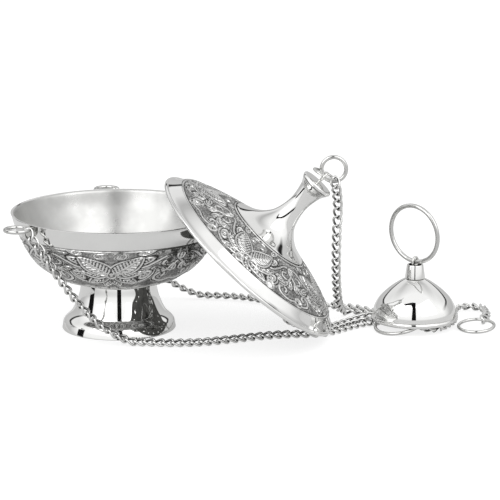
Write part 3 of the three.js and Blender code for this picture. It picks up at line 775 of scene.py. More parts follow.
@dataclass
class Chain:
    """A chain of curb links along a route, hooked on a ring at one or both ends.

    Attributes:
        name: its name and that of the CAD node that it replaces.
        route: the points that it follows, from its upper end to the one on the table.
        exit_hook: the wire's direction at the ring that the first link is on, if any.
        end_hook: the same for the last link.
        lay: how it lies. It is not used.
        follows: the moving body that its upper end hangs from, if any.
        wire: the wire's diameter.
        link_length: how long a link is.
        link_width: how wide it is.
        pitch: the distance from one link to the next.
        lean: degrees that a link twists over half a pitch.
        roll: degrees that the links lean over where they lie.
        reach: the length over which they turn to meet a ring's wire.
        inset: the distance from a ring's wire to the middle of the link on it.
        step: the distance between points of the middle line.
        clearance: how far the links stay above the table.
    """

    name: str
    route: Points
    exit_hook: tuple[float, float, float] | None
    end_hook: tuple[float, float, float] | None
    lay: str = "loose"
    follows: str | None = None
    wire: float = 1.45
    link_length: float = 8.1
    link_width: float = 6.0
    pitch: float = 5.2
    lean: float = 36.0
    roll: float = 31.0
    reach: float = 40.0
    inset: float = 1.9
    step: float = 0.25
    clearance: float = 0.05

    def normals(self, line: np.ndarray, along: np.ndarray) -> np.ndarray:
        """Normals carried back along the line from its lying end without twist.

        Near a ring they turn evenly, so that the ring's wire runs through the link.

        Args:
            line: the chain's middle line.
            along: its direction at each point.

        Returns:
            A unit normal at each point.
        """
        easing = 1.3
        roll = math.radians(self.roll)
        normal = np.array([0.0, -math.sin(roll), math.cos(roll)])
        out = np.zeros_like(line)
        for i in range(len(line) - 1, -1, -1):
            normal = normal - along[i] * (normal @ along[i])
            normal = normal / np.linalg.norm(normal)
            out[i] = normal
        distance = np.arange(len(line)) * self.step
        for hook, index, away in ((self.exit_hook, 0, distance),
                                  (self.end_hook, -1, distance[::-1])):
            if hook is None:
                continue
            side = np.cross(along, out)
            angle = math.atan2(np.dot(hook, side[index]), np.dot(hook, out[index]))
            angle = (angle + math.pi / 2) % math.pi - math.pi / 2
            twist = (angle * np.clip(1 - away / self.reach, 0, 1) ** easing)[:, None]
            out = out * np.cos(twist) + side * np.sin(twist)
        return out

    def link(self, steps: int = 20, sides: int = 8) -> tuple[Shape, np.ndarray]:
        """One curb link: a wire round a stadium, twisted evenly along its length.

        The stadium's point (x, y) goes to (x, y cos u, y sin u), where the twist u grows
        with x. The wire's section is a circle square to the stadium's line.

        Args:
            steps: how many steps go round the link.
            sides: how many go round the wire.

        Returns:
            The link in its own frame, x along the chain and z its normal, and how bright each
            point is painted: painted shade darkens the side that faces the link's hole.
        """
        fullness, flatness, shade_level, shade_swing = 2.4, 0.85, 0.7, 0.65
        bend = (self.link_width - self.wire) / 2
        straight = (self.link_length - self.wire) / 2 - bend
        t = circle(steps, 0.5)
        x = np.clip(straight * fullness * np.cos(t), -straight, straight) + bend * np.cos(t)
        y = bend * np.sign(np.sin(t)) * np.abs(np.sin(t)) ** flatness
        twist = math.radians(self.lean) * x / (self.pitch / 2)
        centre = np.stack([x, y * np.cos(twist), y * np.sin(twist)], 1)
        along = unit(np.roll(centre, -1, axis=0) - np.roll(centre, 1, axis=0))
        up = np.stack([np.zeros(steps), -np.sin(twist), np.cos(twist)], 1)
        up = unit(up - along * np.sum(up * along, axis=1)[:, None])
        out = np.cross(along, up)
        a = circle(sides)[:, None]
        section = (out[:, None] * np.cos(a) + up[:, None] * np.sin(a)) * self.wire / 2
        # Painted shade: the wire's side that faces the link's hole is darkened, its outer side
        # brightened.
        bright = np.clip(shade_level + shade_swing * np.cos(circle(sides)), 0, 1)
        points = (centre[:, None] + section).reshape(-1, 3)
        return (points, grid_faces(steps, sides)), np.tile(bright, steps)

    def build(self) -> None:
        line = resampled(spline(self.route, per_span=24, centripetal=True), self.step)
        along = unit(np.gradient(line, axis=0))
        normal = self.normals(line, along)
        length = float(distance_along(line)[-1])
        count = round(length / self.pitch)
        first, last = (self.pitch / 2 if hook is None else self.inset
                       for hook in (self.exit_hook, self.end_hook))
        where = np.linspace(first, length - last, count)
        at = np.clip(np.round(where / self.step).astype(int), 0, len(line) - 1)
        basis = np.stack([along[at], np.cross(normal[at], along[at]), normal[at]], 1)
        (link, quads), bright = self.link()
        points = line[at][:, None] + np.einsum("kc,lcd->lkd", link, basis)
        sunk = np.minimum(points[..., 2].min(axis=1) - self.clearance, 0.0)
        points[..., 2] -= sunk[:, None]
        faces = quads + (np.arange(count) * len(link))[:, None, None]
        # The links' relief attribute carries their painted shade, darkest where they face their
        # holes.
        piece = make(f"{self.name}_links", (points.reshape(-1, 3), faces.reshape(-1, 4)), LINKS,
                     None if self.follows else "layout", self.name, np.tile(bright, count),
                     crease=180.0)
        if self.follows:
            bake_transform(piece)


# Height of the middle line of a chain that lies on the table
LAY = 1.7


def chains() -> list[Chain]:
    """The five stretches of chain, with the routes of the CAD tubes.

    Returns:
        The chains, each from its upper ring to the end that lies on the table.
    """
    left = [
        [-47.1, -43.4, 65.0], [-46.3, -43.6, 61.8], [-43.4, -44, 58], [-38.6, -44, 51],
        [-32.4, -43.6, 41.6], [-24, -43, 29], [-13.4, -42.6, 16.5], [-2, -42.4, 7.4],
        [8.6, -42.6, 2.6],
        [19, -43.4, LAY], [32, -44.6, LAY], [46, -43.4, LAY], [62, -37.6, LAY], [80, -30, LAY],
        [94, -26, LAY], [106, -25, LAY], [115, -22.6, LAY], [122.4, -16.4, LAY],
        [130, -8.4, LAY], [136, -2.8, LAY], [140.6, 0.4, LAY], [143.2, 1.6, LAY],
        [145.2, 2, 1.9], [147, 0.6, 2.9],
    ]
    back = [
        [-4.4, 63.7, 65.0], [-3.6, 64.4, 61.8], [-1.8, 64.6, 57], [2.6, 64.8, 46], [9.4, 65, 33],
        [17, 65, 21], [25, 65, 12], [32.6, 65, 7.4], [41, 64.2, 3.8], [49, 63.4, 2],
        [56, 62.6, LAY], [63, 61.4, LAY], [72.6, 57.4, LAY], [82, 51.4, LAY], [93, 46.4, LAY],
        [104, 43, LAY],
        [116, 40, LAY], [127, 37, LAY], [138, 31.8, LAY], [146, 27.2, LAY], [152, 22.8, LAY],
        [155, 20.4, LAY], [156.9, 18.4, 2.5], [158.4, 16, 4.4], [158.8, 13, 6],
        [157.4, 9.4, 6.5], [156.2, 7.4, 6.4], [156.2, 5.2, 6.2],
    ]
    right = [
        [64.3, -30.9, 65.0], [64.4, -29.4, 61.8], [65, -27, 55], [66.3, -21.5, 46],
        [69.2, -12.5, 36.4], [75, -1, 26], [81, 9.5, 17], [86, 19.5, 9], [90.4, 27.6, 4],
        [94.6, 33.4, 2.1], [99.6, 36, 1.8], [105, 33.6, LAY], [107, 27.6, LAY],
        [103.4, 22.4, LAY], [98, 18.6, LAY], [95.4, 13, LAY], [96.4, 6, LAY], [99.4, 0, LAY],
        [102.6, -5, LAY], [107, -10, LAY],
        [112.6, -12.6, LAY], [118.4, -10.6, LAY], [124, -5.4, LAY], [130, 0.8, LAY],
        [136.6, 7, LAY], [141.6, 10.4, LAY], [145.6, 9.6, LAY], [148.2, 7.4, 2.6],
        [149.8, 5.6, 4], [151, 3.8, 4.9],
    ]
    upper = [
        [120.5, -20.39, 89.05], [121.2, -20.39, 86.25], [122.8, -12.6, 72], [122.4, -9, 55],
        [122.4, -4, 40], [122.8, 3.2, 25], [124, 11.4, 12.6], [125.6, 18.2, 5.6],
        [127.4, 23.6, 2.4],
    ]
    lower = [
        [129, 25.6, LAY], [135, 25.4, LAY], [142.5, 22.4, LAY], [149.4, 18.8, LAY],
        [155.6, 14.8, LAY], [161.9, 9, LAY], [166, 1.4, LAY], [168.4, -6.4, LAY],
        [171.4, -12.8, LAY], [176, -15.4, LAY], [181.4, -12.6, LAY], [185.4, -7, LAY],
        [188.2, 0.4, LAY], [189.6, 10.6, LAY], [190.2, 22, LAY], [193, 31.2, LAY],
        [199, 35.8, LAY], [205.4, 34, LAY], [208.8, 27.4, LAY], [209, 17, LAY],
        [207.4, 8, LAY], [206.3, 4, 2], [205.7, 2.6, 3.1],
    ]
    return [
        Chain("chain_left", left, (0.2, 0.98, 0), (0.8, 0.6, 0), "hanging"),
        Chain("chain_back", back, (0.6, 0.8, 0), (1, 0, 0), "hanging"),
        Chain("chain_right", right, (0.97, 0.25, 0), (0.8, 0.6, 0), "hanging"),
        Chain("lid_chain_upper", upper, (0, 1, 0), None, "hanging", "lid"),
        Chain("lid_chain_lower", lower, None, (0.9, -0.45, 0)),
    ]


# Embossed pattern


# Width of the raised outline of leaves and beans
OUTLINE = 0.58


def ridge(distance: np.ndarray, width: float) -> np.ndarray:
    """Height of a rounded ridge: a bell curve of the distance from its crest, 1 on it."""
    return np.exp(-((distance / width) ** 2))


def in_frame(points: np.ndarray, x: float, y: float,
             turn: float) -> tuple[np.ndarray, np.ndarray]:
    """Points in a frame of their own.

    Args:
        points: an array of x, y.
        x: where the frame's origin is.
        y: the same.
        turn: how far it is turned, in degrees.

    Returns:
        How far along the frame's first axis each point is, and how far along its second.
    """
    a = math.radians(turn)
    dx, dy = points[:, 0] - x, points[:, 1] - y
    return dx * math.cos(a) + dy * math.sin(a), -dx * math.sin(a) + dy * math.cos(a)


def distance_to(points: np.ndarray, line: np.ndarray) -> np.ndarray:
    """Shortest distance from each point to a chain of straight segments.

    Args:
        points: an array of x, y.
        line: the segments' corner points in order.

    Returns:
        One distance per point.
    """
    best = np.full(len(points), np.inf)
    for a, b in zip(line[:-1], line[1:]):
        span = b - a
        share = np.clip((points - a) @ span / (span @ span + 1e-12), 0, 1)
        near = points - a - share[:, None] * span
        best = np.minimum(best, np.hypot(near[:, 0], near[:, 1]))
    return best


@dataclass
class Leaf:
    """A pointed petal or leaf in the pattern: outline, midrib and slanted veins.

    Its half width at a share t of its length is 1.05 times the width times the square root
    of sin(pi t) times (1.15 - t).

    Attributes:
        x: where its stalk is.
        y: the same.
        turn: degrees that it leans to the right.
        length: how long it is.
        width: its half width, roughly.
        start: how far from the stalk it starts.
    """

    x: float
    y: float
    turn: float
    length: float
    width: float
    start: float = 0.0

    def height(self, points: np.ndarray) -> tuple[np.ndarray, np.ndarray]:
        """The leaf's relief at each point, and whether it covers the point.

        Args:
            points: x and y in the pattern's millimetres.

        Returns:
            Relief from 0 to 1, and the cover.
        """
        rib_width, vein_pitch, vein_slant, vein_height = 0.42, 2.5, 0.9, 0.8
        rim, body_height, groove = 1.3, 0.12, 1.5
        across, along = in_frame(points, self.x, self.y, -self.turn)
        across, along = np.abs(across), along - self.start
        t = np.clip(along / self.length, 0, 1)
        half = self.width * np.sqrt(np.sin(math.pi * t) * (1.15 - t) + 1e-9) * 1.05
        inside = (along > 0) & (along < self.length)
        outline = ridge(across - half, OUTLINE) * inside
        rib = ridge(across, rib_width) * (inside & (across < half))
        slanted = np.sin((along - vein_slant * across) * 2 * math.pi / vein_pitch) > -0.1
        veins = vein_height * (slanted & inside & (across < half - rim))
        body = body_height * (inside & (across < half + 0.4))
        return np.maximum.reduce([outline, rib, veins, body]), inside & (across < half + groove)


@dataclass
class Scroll:
    """A raised line along a smooth curve, with a thinner one beside it.

    Attributes:
        points: the points that the line passes through.
        width: how wide it is.
        echo: the distance to the line beside it.
    """

    points: Points
    width: float = 0.75
    echo: float = 2.1

    def height(self, points: np.ndarray) -> tuple[np.ndarray, np.ndarray]:
        """The scroll's relief at each point, and whether it covers the point.

        Args:
            points: x and y in the pattern's millimetres.

        Returns:
            Relief from 0 to 1, and the cover.
        """
        echo_height, echo_width, groove = 0.7, 0.3, 0.9
        away = distance_to(points, spline(self.points, per_span=5))
        beside = echo_height * ridge(away - self.echo, echo_width)
        return np.maximum(ridge(away, self.width), beside), away < self.width + groove


@dataclass
class Bean:
    """A hatched bean: a raised oval outline with a row of bars in it.

    Attributes:
        x: where its middle is.
        y: the same.
        turn: degrees from lying along the band.
        length: half its length.
        width: half its width.
    """

    x: float
    y: float
    turn: float
    length: float
    width: float

    def height(self, points: np.ndarray) -> tuple[np.ndarray, np.ndarray]:
        """The bean's relief at each point, and whether it covers the point.

        Args:
            points: x and y in the pattern's millimetres.

        Returns:
            Relief from 0 to 1, and the cover.
        """
        bar_pitch, bar_height, hatched, groove = 2.1, 0.85, 0.62, 1.4
        along, across = in_frame(points, self.x, self.y, self.turn)
        oval = np.hypot(along / self.length, across / self.width)
        edge = (oval - 1) * min(self.length, self.width)
        bars = bar_height * ((np.sin(along * 2 * math.pi / bar_pitch) > 0) & (oval < hatched))
        return np.maximum(ridge(edge, OUTLINE), bars), edge < groove


@dataclass
class Pattern:
    """The embossing: repeats round the axis, half of each drawn and half mirrored.

    Attributes:
        first_flower: the direction of the first repeat's middle, in degrees.
        repeats: how many go round.
        half_width: half of a repeat, in the pattern's millimetres.
        depth: the band's width in them.
    """

    first_flower: float
    repeats: int = 4
    half_width: float = 39.0
    depth: float = 42.0

    def shapes(self) -> list[Leaf | Scroll | Bean]:
        """The shapes of the right half, the ones on top last."""
        return [
            Scroll([(39, 5), (33, 3.4), (27.4, 5.6), (26, 10), (29, 13), (32, 11.4), (31, 8.6)]),
            Scroll([(12.6, 3.2), (18, 5.4), (22.4, 9.6), (24, 15), (21, 18.6), (17.6, 17)]),
            Scroll([(13.4, 21.4), (19, 23), (24.6, 28.4), (30.6, 34), (36, 34.6), (38.6, 30),
                    (37, 24.6), (32.6, 22.4), (28.8, 24.2), (29.6, 28), (33, 28.6)]),
            Scroll([(24, 37.8), (29, 39), (34, 38.4), (39, 39.4)], 0.4, 1.2),
            Leaf(35, 14, 6, 9.5, 2.6), Leaf(26.6, 15.2, 62, 8, 2.4), Leaf(39, 36, 180, 9, 2.6),
            Leaf(22.4, 20.4, 112, 9, 2.4), Bean(17.8, 29.6, 38, 5.6, 2.7),
            Bean(19.6, 12.4, 64, 4.4, 2.2), Leaf(14.6, 37.6, 62, 9.4, 2.2),
            Leaf(0, 12, 158, 11.5, 3.6, 2.4), Leaf(0, 12, 118, 15.5, 4.0, 2.4),
            Leaf(0, 12, 79, 17.0, 4.8, 2.4), Leaf(0, 14, 0, 12.5, 3.4, 0.6),
            Leaf(0, 12, 37, 25.5, 7.8, 2.4),
            Scroll([(2.2, 39.6), (7.4, 38.6), (7.6, 34.6), (3.6, 34.2), (4.2, 36.8)], 0.45, 1.2),
            Scroll([(5, -3.4), (12, -5.6), (19, -2.8), (26, -5.4), (33, -3), (39, -4.6)]),
            Leaf(12, -5, 158, 8.5, 2.6), Leaf(26, -5.4, 192, 8.5, 2.6), Leaf(39, -4, 180, 9.5, 2.8),
            Leaf(0, -3.4, 180, 10, 3.0),
        ]

    def relief(self, angle: np.ndarray, y: np.ndarray) -> np.ndarray:
        """The embossing's height on a grid of angles and rows.

        The later shapes hide the ground and the shapes under them. The ground is stippled.

        Args:
            angle: radians round the axis, one per step.
            y: millimetres across the band from its lower edge, one per row.

        Returns:
            Heights from 0 to 1, one row per angle.
        """
        ground, grain, grain_share = 0.2, 0.27, 0.35
        heart, heart_radius = 12, 3.0
        turn = angle[:, None] - math.radians(self.first_flower)
        x, y = np.broadcast_arrays(turn * self.half_width * self.repeats / math.pi, y)
        x = np.abs((x + self.half_width) % (2 * self.half_width) - self.half_width)
        points = np.stack([x.ravel(), y.ravel()], 1)
        stipple = np.sin(points[:, 0] * 6.1) * np.sin(points[:, 1] * 5.3) > grain_share
        total = ground + grain * stipple
        for shape in self.shapes():
            height, cover = shape.height(points)
            total = np.maximum(height, total * ~cover)
        flower = np.hypot(points[:, 0], points[:, 1] - heart)
        boss = np.maximum(ridge(flower, 1.1), ridge(flower - 2.5, 0.4))
        return np.where(flower < heart_radius, boss, total).reshape(x.shape)


# Vessel


@dataclass
class Bowl:
    """The footed bowl with its embossed band, its ears and its bolt.

    The heights rise and band_top count from the shell's bottom, which is at base, and the
    others from the table. The embossing is stretched: at the distances band_depths below
    band_top its rows are band_rows, counted down from its upper edge.
    """

    rim: float = 60.0
    rise: float = 39.9
    wall: float = 1.6
    seat: float = 21.0
    base: float = 27.3
    hole: float = 2.8
    emboss: float = 0.75
    first_flower: float = -92.0
    band_top: float = 28.6
    band_depths: tuple[float, ...] = (-99.0, 0.0, 17.7, 60.0)
    band_rows: tuple[float, ...] = (-99.0, 0.0, 30.0, 72.0)
    foot_height: float = 27.0
    foot_radius: float = 32.0
    foot_lip: float = 4.4
    foot_taper: float = 0.7
    foot_wall: float = 1.5
    ear_radius: float = 6.4
    ear_wire: float = 2.3
    ear_first: float = 98.2
    ear_out: float = 67.85
    ear_height: float = 65.2

    def shell(self) -> None:
        """The bowl: a smooth wall whose outside carries the embossing below a plain band."""
        segments, start, leaves_end = 640, 2, -14.0
        shares = [(0, 0), (0.31, 0.068), (0.564, 0.218), (0.744, 0.406), (0.91, 0.72), (1, 1)]
        size = (self.rim - self.seat, self.rise)
        curve = spline(from_shares(shares, (self.seat, 0), size), per_span=60)
        inner = resampled(offset(curve, -self.wall), spacing=1.2)
        inner[0] = (self.seat - self.wall, self.wall)
        inner[-1] = (self.rim - self.wall + 0.25, self.rise - 0.35)
        outer = resampled(curve, spacing=0.42)
        along = distance_along(outer)
        top = float(np.interp(self.band_top, outer[:, 1], along))
        keep = (along <= top + 1.4) | (np.arange(len(along)) % 3 == 0)
        keep[-1] = True
        outer, along = outer[keep], along[keep]
        outer[-1] = (self.rim, self.rise - 0.3)
        profile = np.vstack([
            [(self.hole, 0), (self.seat - 0.6, 0)], outer,
            [(self.rim - 0.5 * self.wall, self.rise)], inner[::-1], [(self.hole, self.wall)],
        ])
        pattern = Pattern(self.first_flower)
        y = pattern.depth - np.interp(top - along, self.band_depths, self.band_rows)
        border = np.maximum(ridge(y - pattern.depth + 0.4, 0.45), y > pattern.depth + 0.6)
        band = (y > leaves_end) & (y < pattern.depth - 1.2)
        raised = np.where(band, pattern.relief(circle(segments), y), np.where(y > 0, border, 0.6))
        shape, heights = embossed(profile + (0, self.base), start, raised, self.emboss)
        kind = np.ones(len(profile))
        kind[start:start + len(y)] = (y <= leaves_end - 0.5) | (y >= pattern.depth + 0.2)
        kind[start + len(y) + 1:] = 2
        make("bowl_embossed", shape, (EMBOSSED, MIRROR, INSIDE), "layout", "bowl_shell",
             heights, crease=60, which=np.tile(kind, segments))

    def foot(self) -> None:
        """The spun foot: a flared wall on a rolled lip."""
        edge = self.foot_radius - self.foot_taper
        shares = [(0, 1), (0.145, 0.64), (0.5, 0.26), (0.89, 0.07), (1, 0)]
        size = (edge - self.seat, self.foot_height - self.foot_lip)
        curve = spline(from_shares(shares, (self.seat, self.foot_lip), size), per_span=14)
        inner = offset(curve, self.foot_wall)[::-1]
        inner[0] = (edge - self.foot_wall, self.foot_lip)
        inner[-1] = (self.seat - self.foot_wall, self.foot_height - self.foot_wall)
        profile = np.vstack([
            [(self.hole, self.foot_height), (self.seat - 0.4, self.foot_height)], curve[1:],
            [(self.foot_radius, 0.4), (self.foot_radius - 0.3, 0),
             (self.foot_radius - self.foot_wall, 0)],
            inner, [(self.hole, self.foot_height - self.foot_wall)],
        ])
        make("foot_spun", turned(profile, segments=192), MIRROR, "layout", "foot", crease=30)

    def ears(self) -> None:
        """Three rings that lie flat outside the rim."""
        for index, name in enumerate(("back", "left", "right")):
            angle = math.radians(self.ear_first + 120 * index)
            x, y = self.ear_out * math.cos(angle), self.ear_out * math.sin(angle)
            ring = moved(hoop(self.ear_radius, self.ear_wire), place(x, y, self.ear_height))
            make(f"ear_hoop_{name}", ring, WIRE, "layout", f"ear_ring_{name}")

    def build(self) -> None:
        """Makes the bowl's pieces and gives the CAD ones that stay their finish."""
        self.shell()
        self.foot()
        self.ears()
        for name in ("foot_bolt", "foot_washer", "foot_nut", "ear_lug_back", "ear_lug_left",
                     "ear_lug_right"):
            dress(name, SATIN)


@dataclass
class Lid:
    """The leaning lid: embossed dome, polished neck, top plate, eye and two rings.

    Heights count from the rim plane. The lid leans on its low edge, whose height is low, and
    x and y are those of the rim's middle. The jump ring's middle is jump_turn degrees
    round from the way down its slope, and the upright ring is placed from that middle.
    """

    radius: float = 62.0
    wall: float = 1.4
    flange: float = 7.2
    flange_width: float = 7.0
    dome: float = 11.3
    neck_foot: float = 24.5
    neck: float = 37.4
    neck_radius: float = 5.3
    finial: float = 9.0
    lean: float = 42.3
    azimuth: float = -4.65
    x: float = 72.5
    y: float = -23.2
    low: float = 3.7
    emboss: float = 0.65
    first_flower: float = -96.0
    vents: int = 14
    vent_first: float = -125.0
    vent_circle: float = 50.5
    vent_radius: float = 2.0
    plate: float = 1.8
    spigot: float = 6.1
    spigot_depth: float = 1.2
    eye_radius: float = 2.4
    eye_wire: float = 1.6
    eye_stem: float = 2.6
    jump_radius: float = 6.25
    jump_wire: float = 1.5
    jump_slope: float = 27.4
    jump_turn: float = 88.0
    ring_radius: float = 6.8
    ring_wire: float = 2.3
    ring_down: float = 3.8
    ring_up: float = 4.3
    ring_behind: float = 3.6

    @property
    def edge(self) -> float:
        """The radius at which the embossed band starts."""
        return self.radius - self.flange_width

    @property
    def foot(self) -> float:
        """The height of the neck's foot."""
        return self.flange + self.dome

    @property
    def plate_foot(self) -> float:
        """The height of the top plate's lower face."""
        return self.foot + self.neck + GAP

    @property
    def eye_middle(self) -> float:
        """The height of the eye's middle."""
        return self.plate_foot + self.plate + self.eye_stem + self.eye_radius

    def matrix(self) -> Matrix:
        """The lid's own frame in the layout: rim plane at height 0, x down its slope."""
        height = self.low + self.radius * math.sin(math.radians(self.lean))
        return place(self.x, self.y, height, ("Z", self.azimuth), ("Y", self.lean))

    def nearest_vent(self, x: np.ndarray, y: np.ndarray) -> tuple[np.ndarray, np.ndarray]:
        """The vent that is nearest to each point.

        Args:
            x: the points' first coordinate in the lid's frame.
            y: their second one.

        Returns:
            The vent's middle, and how far away it is.
        """
        angle = circle(self.vents) + math.radians(self.vent_first)
        centres = self.vent_circle * np.stack([np.cos(angle), np.sin(angle)], 1)
        away = np.hypot(x[..., None] - centres[:, 0], y[..., None] - centres[:, 1])
        return centres[np.argmin(away, -1)], np.min(away, -1)

    def dome_profile(self) -> tuple[np.ndarray, np.ndarray, int]:
        """The dome's profile: up from the flange's bead, up the band and back inside.

        Returns:
            The closed profile, the band's outer rows, and the number of the first of them.
        """
        shares = [(1, 0), (0.75, 0.29), (0.42, 0.62), (0, 1)]
        size = (self.edge - self.neck_foot, self.dome)
        band = spline(from_shares(shares, (self.neck_foot, self.flange), size), per_span=60)
        outer = resampled(band, spacing=0.5)
        inner = offset(outer, -self.wall)[::-1]
        inner[0] = (self.neck_foot, self.foot - self.wall)
        inner[-1] = (self.edge - self.wall, self.flange - self.wall)
        bead = rolled_lip(self.radius, 0.8 * self.wall, end=0.62)
        rise = spline([bead[-1], (self.radius - 3.2, 3.4), (self.edge + 0.9, 6.3), outer[0]],
                      per_span=8)
        under = [(self.edge + 1.6, 3.6), (self.radius - 2.2 * self.wall, 1.1 * self.wall)]
        profile = np.vstack([bead, rise[1:-1], outer, inner, under])
        return profile, outer, len(bead) + len(rise) - 2

    def band_relief(self, outer: np.ndarray, angle: np.ndarray) -> np.ndarray:
        """The embossing with a bead on each side and a collar round each vent.

        Args:
            outer: radius and height of the band's outer rows.
            angle: radians round the axis, one per step.

        Returns:
            Heights from 0 to 1, one row per angle.
        """
        margin, bead_width, collar, collar_width = 1.6, 0.55, 0.45, 0.5
        pattern = Pattern(self.first_flower)
        along = distance_along(outer)
        y = along / along[-1] * (pattern.depth + 2 * margin) - margin
        beads = np.maximum(ridge(y + 0.6, bead_width),
                           ridge(y - pattern.depth - 0.5, bead_width))
        band = (y > 0.5) & (y < pattern.depth - 0.5)
        raised = np.where(band, pattern.relief(angle, y), beads)
        turn = angle[:, None]
        away = self.nearest_vent(outer[:, 0] * np.cos(turn), outer[:, 0] * np.sin(turn))[1]
        collars = ridge(away - self.vent_radius - collar, collar_width)
        return np.where(away < self.vent_radius + 1.1, collars, raised)

    def drill(self, grid: np.ndarray, start: int, rows: int) -> np.ndarray:
        """Moves the points at each vent's border onto its circle, outside and inside.

        Args:
            grid: the dome's points by step round and profile point, which it changes.
            start: the number of the band's first outer row.
            rows: how many outer rows there are.

        Returns:
            Which quads between the outer rows have their middle in a vent.
        """
        outside = grid[:, start:start + rows]
        pairs = outside[:, :-1] + outside[:, 1:]
        middle = (pairs + np.roll(pairs, -1, axis=0)) / 4
        gone = self.nearest_vent(middle[..., 0], middle[..., 1])[1] < self.vent_radius
        border = at_corners(gone) & at_corners(~gone)
        centre, away = self.nearest_vent(outside[..., 0], outside[..., 1])
        stretch = border * (self.vent_radius / (away + 1e-9) - 1)
        shift = (outside[..., :2] - centre) * stretch[..., None]
        grid[:, start:start + rows, :2] += shift
        grid[:, start + rows:start + 2 * rows, :2] += shift[:, ::-1]
        return gone

    def dome_shell(self) -> None:
        """The dome: a rolled flange and an embossed band, drilled with a ring of vents.

        The band's outer and inner rows match one to one. The quads whose middle lies in a
        vent are left out of both, their border points move onto the vent's circle, and
        quads between the two borders close the hole's wall.
        """
        segments = 560
        profile, outer, start = self.dome_profile()
        rows, columns = len(outer), len(profile)
        inside = start + rows
        raised = self.band_relief(outer, circle(segments))
        (points, faces), heights = embossed(profile, start, raised, self.emboss)
        grid = points.reshape(segments, columns, 3)
        gone = self.drill(grid, start, rows)
        keep = np.ones((segments, columns), dtype=bool)
        keep[:, start:inside - 1] = ~gone
        keep[:, inside:inside + rows - 1] = ~gone[:, ::-1]
        kind = np.ones((segments, columns))
        kind[:, start:inside - 1] = 0
        # The dome's inside takes the painted shade.
        kind[:, inside:] = 2
        walls = hole_walls(gone, start, columns)
        quads = np.vstack([faces.reshape(segments, columns, 4)[keep], walls])
        which = np.concatenate([kind[keep], np.ones(len(walls))])
        used, quads = np.unique(quads, return_inverse=True)
        shape = moved((grid.reshape(-1, 3)[used], quads.reshape(-1, 4)), self.matrix())
        make("lid_embossed", shape, (EMBOSSED, MIRROR, PAINTED_SHADE_UNDERSIDE), "lid", "lid_dome",
             heights[used], crease=60, which=which)

    def neck_shell(self) -> None:
        """The trumpet-shaped neck, set into the dome with a fine seam."""
        segments = 160
        corner = (self.neck_radius, self.foot)
        low = from_shares([(1, 0), (0.59, 0.09), (0.29, 0.21), (0.1, 0.36), (0, 0.62)], corner,
                          (self.neck_foot - self.neck_radius, self.neck))
        high = from_shares([(0.35, 0.87), (1, 1)], corner,
                           (self.finial - self.neck_radius, self.neck))
        neck = spline(np.vstack([low, high]), per_span=12)
        inner = offset(neck, -self.wall)[::-1]
        neck[0] = (self.neck_foot - GAP, self.foot)
        inner[0] = (self.finial - self.wall, self.foot + self.neck)
        inner[-1] = (self.neck_foot - GAP, self.foot - self.wall)
        shape = moved(turned(np.vstack([neck, inner]), segments), self.matrix())
        inside = np.arange(2 * len(neck)) >= len(neck)
        # The neck's inside takes the painted shade.
        make("lid_neck_spun", shape, (MIRROR, PAINTED_SHADE_UNDERSIDE), "lid", "lid_neck", crease=50,
             which=np.tile(inside, segments))

    def finial_pieces(self) -> None:
        """The top plate and the eye that is riveted through it."""
        low, top = self.plate_foot, self.plate_foot + self.plate
        under = low - self.spigot_depth
        radius = self.finial + 0.4
        hole = self.eye_wire / 2 + GAP
        plate = turned(np.array([
            (hole, under), (self.spigot, under), (self.spigot, low), (radius - 0.3, low),
            (radius, low + 0.4), (radius, top - 0.4), (radius - 0.3, top), (hole, top),
        ]), segments=96)
        make("lid_plate_turned", moved(plate, self.matrix()), MIRROR, "lid", "lid_top_plate",
             crease=30)
        eye = eye_bolt(self.eye_radius, self.eye_wire, self.eye_wire / 2, under - GAP - 1,
                       self.eye_middle, ("Y", 90))
        make("lid_eye_bent", moved(eye, self.matrix()), SATIN, "lid", "lid_eye")

    def rings(self) -> None:
        """The slanted jump ring in the eye and the upright ring in the jump ring."""
        hook = self.matrix() @ Vector((0, 0, self.eye_middle))
        slope, turn = math.radians(self.jump_slope), math.radians(self.jump_turn)
        down = Vector((math.cos(slope), 0, -math.sin(slope)))
        up = Vector((math.sin(slope), 0, math.cos(slope)))
        behind = Vector((0, 1, 0))
        jump = hook + (down * math.cos(turn) + behind * math.sin(turn)) * self.jump_radius
        ring = moved(hoop(self.jump_radius, self.jump_wire), place(*jump, ("Y", self.jump_slope)))
        make("lid_jump_hoop", ring, WIRE, "jump_ring", "lid_jump_ring")
        upright = jump + down * self.ring_down + up * self.ring_up + behind * self.ring_behind
        ring = hoop(self.ring_radius, self.ring_wire, steps=96)
        ring = moved(ring, place(*upright, ("X", 90)))
        make("lid_hoop", ring, WIRE, "upright_ring", "lid_ring")

    def build(self) -> None:
        """Makes the lid's pieces."""
        self.dome_shell()
        self.neck_shell()
        self.finial_pieces()
        self.rings()


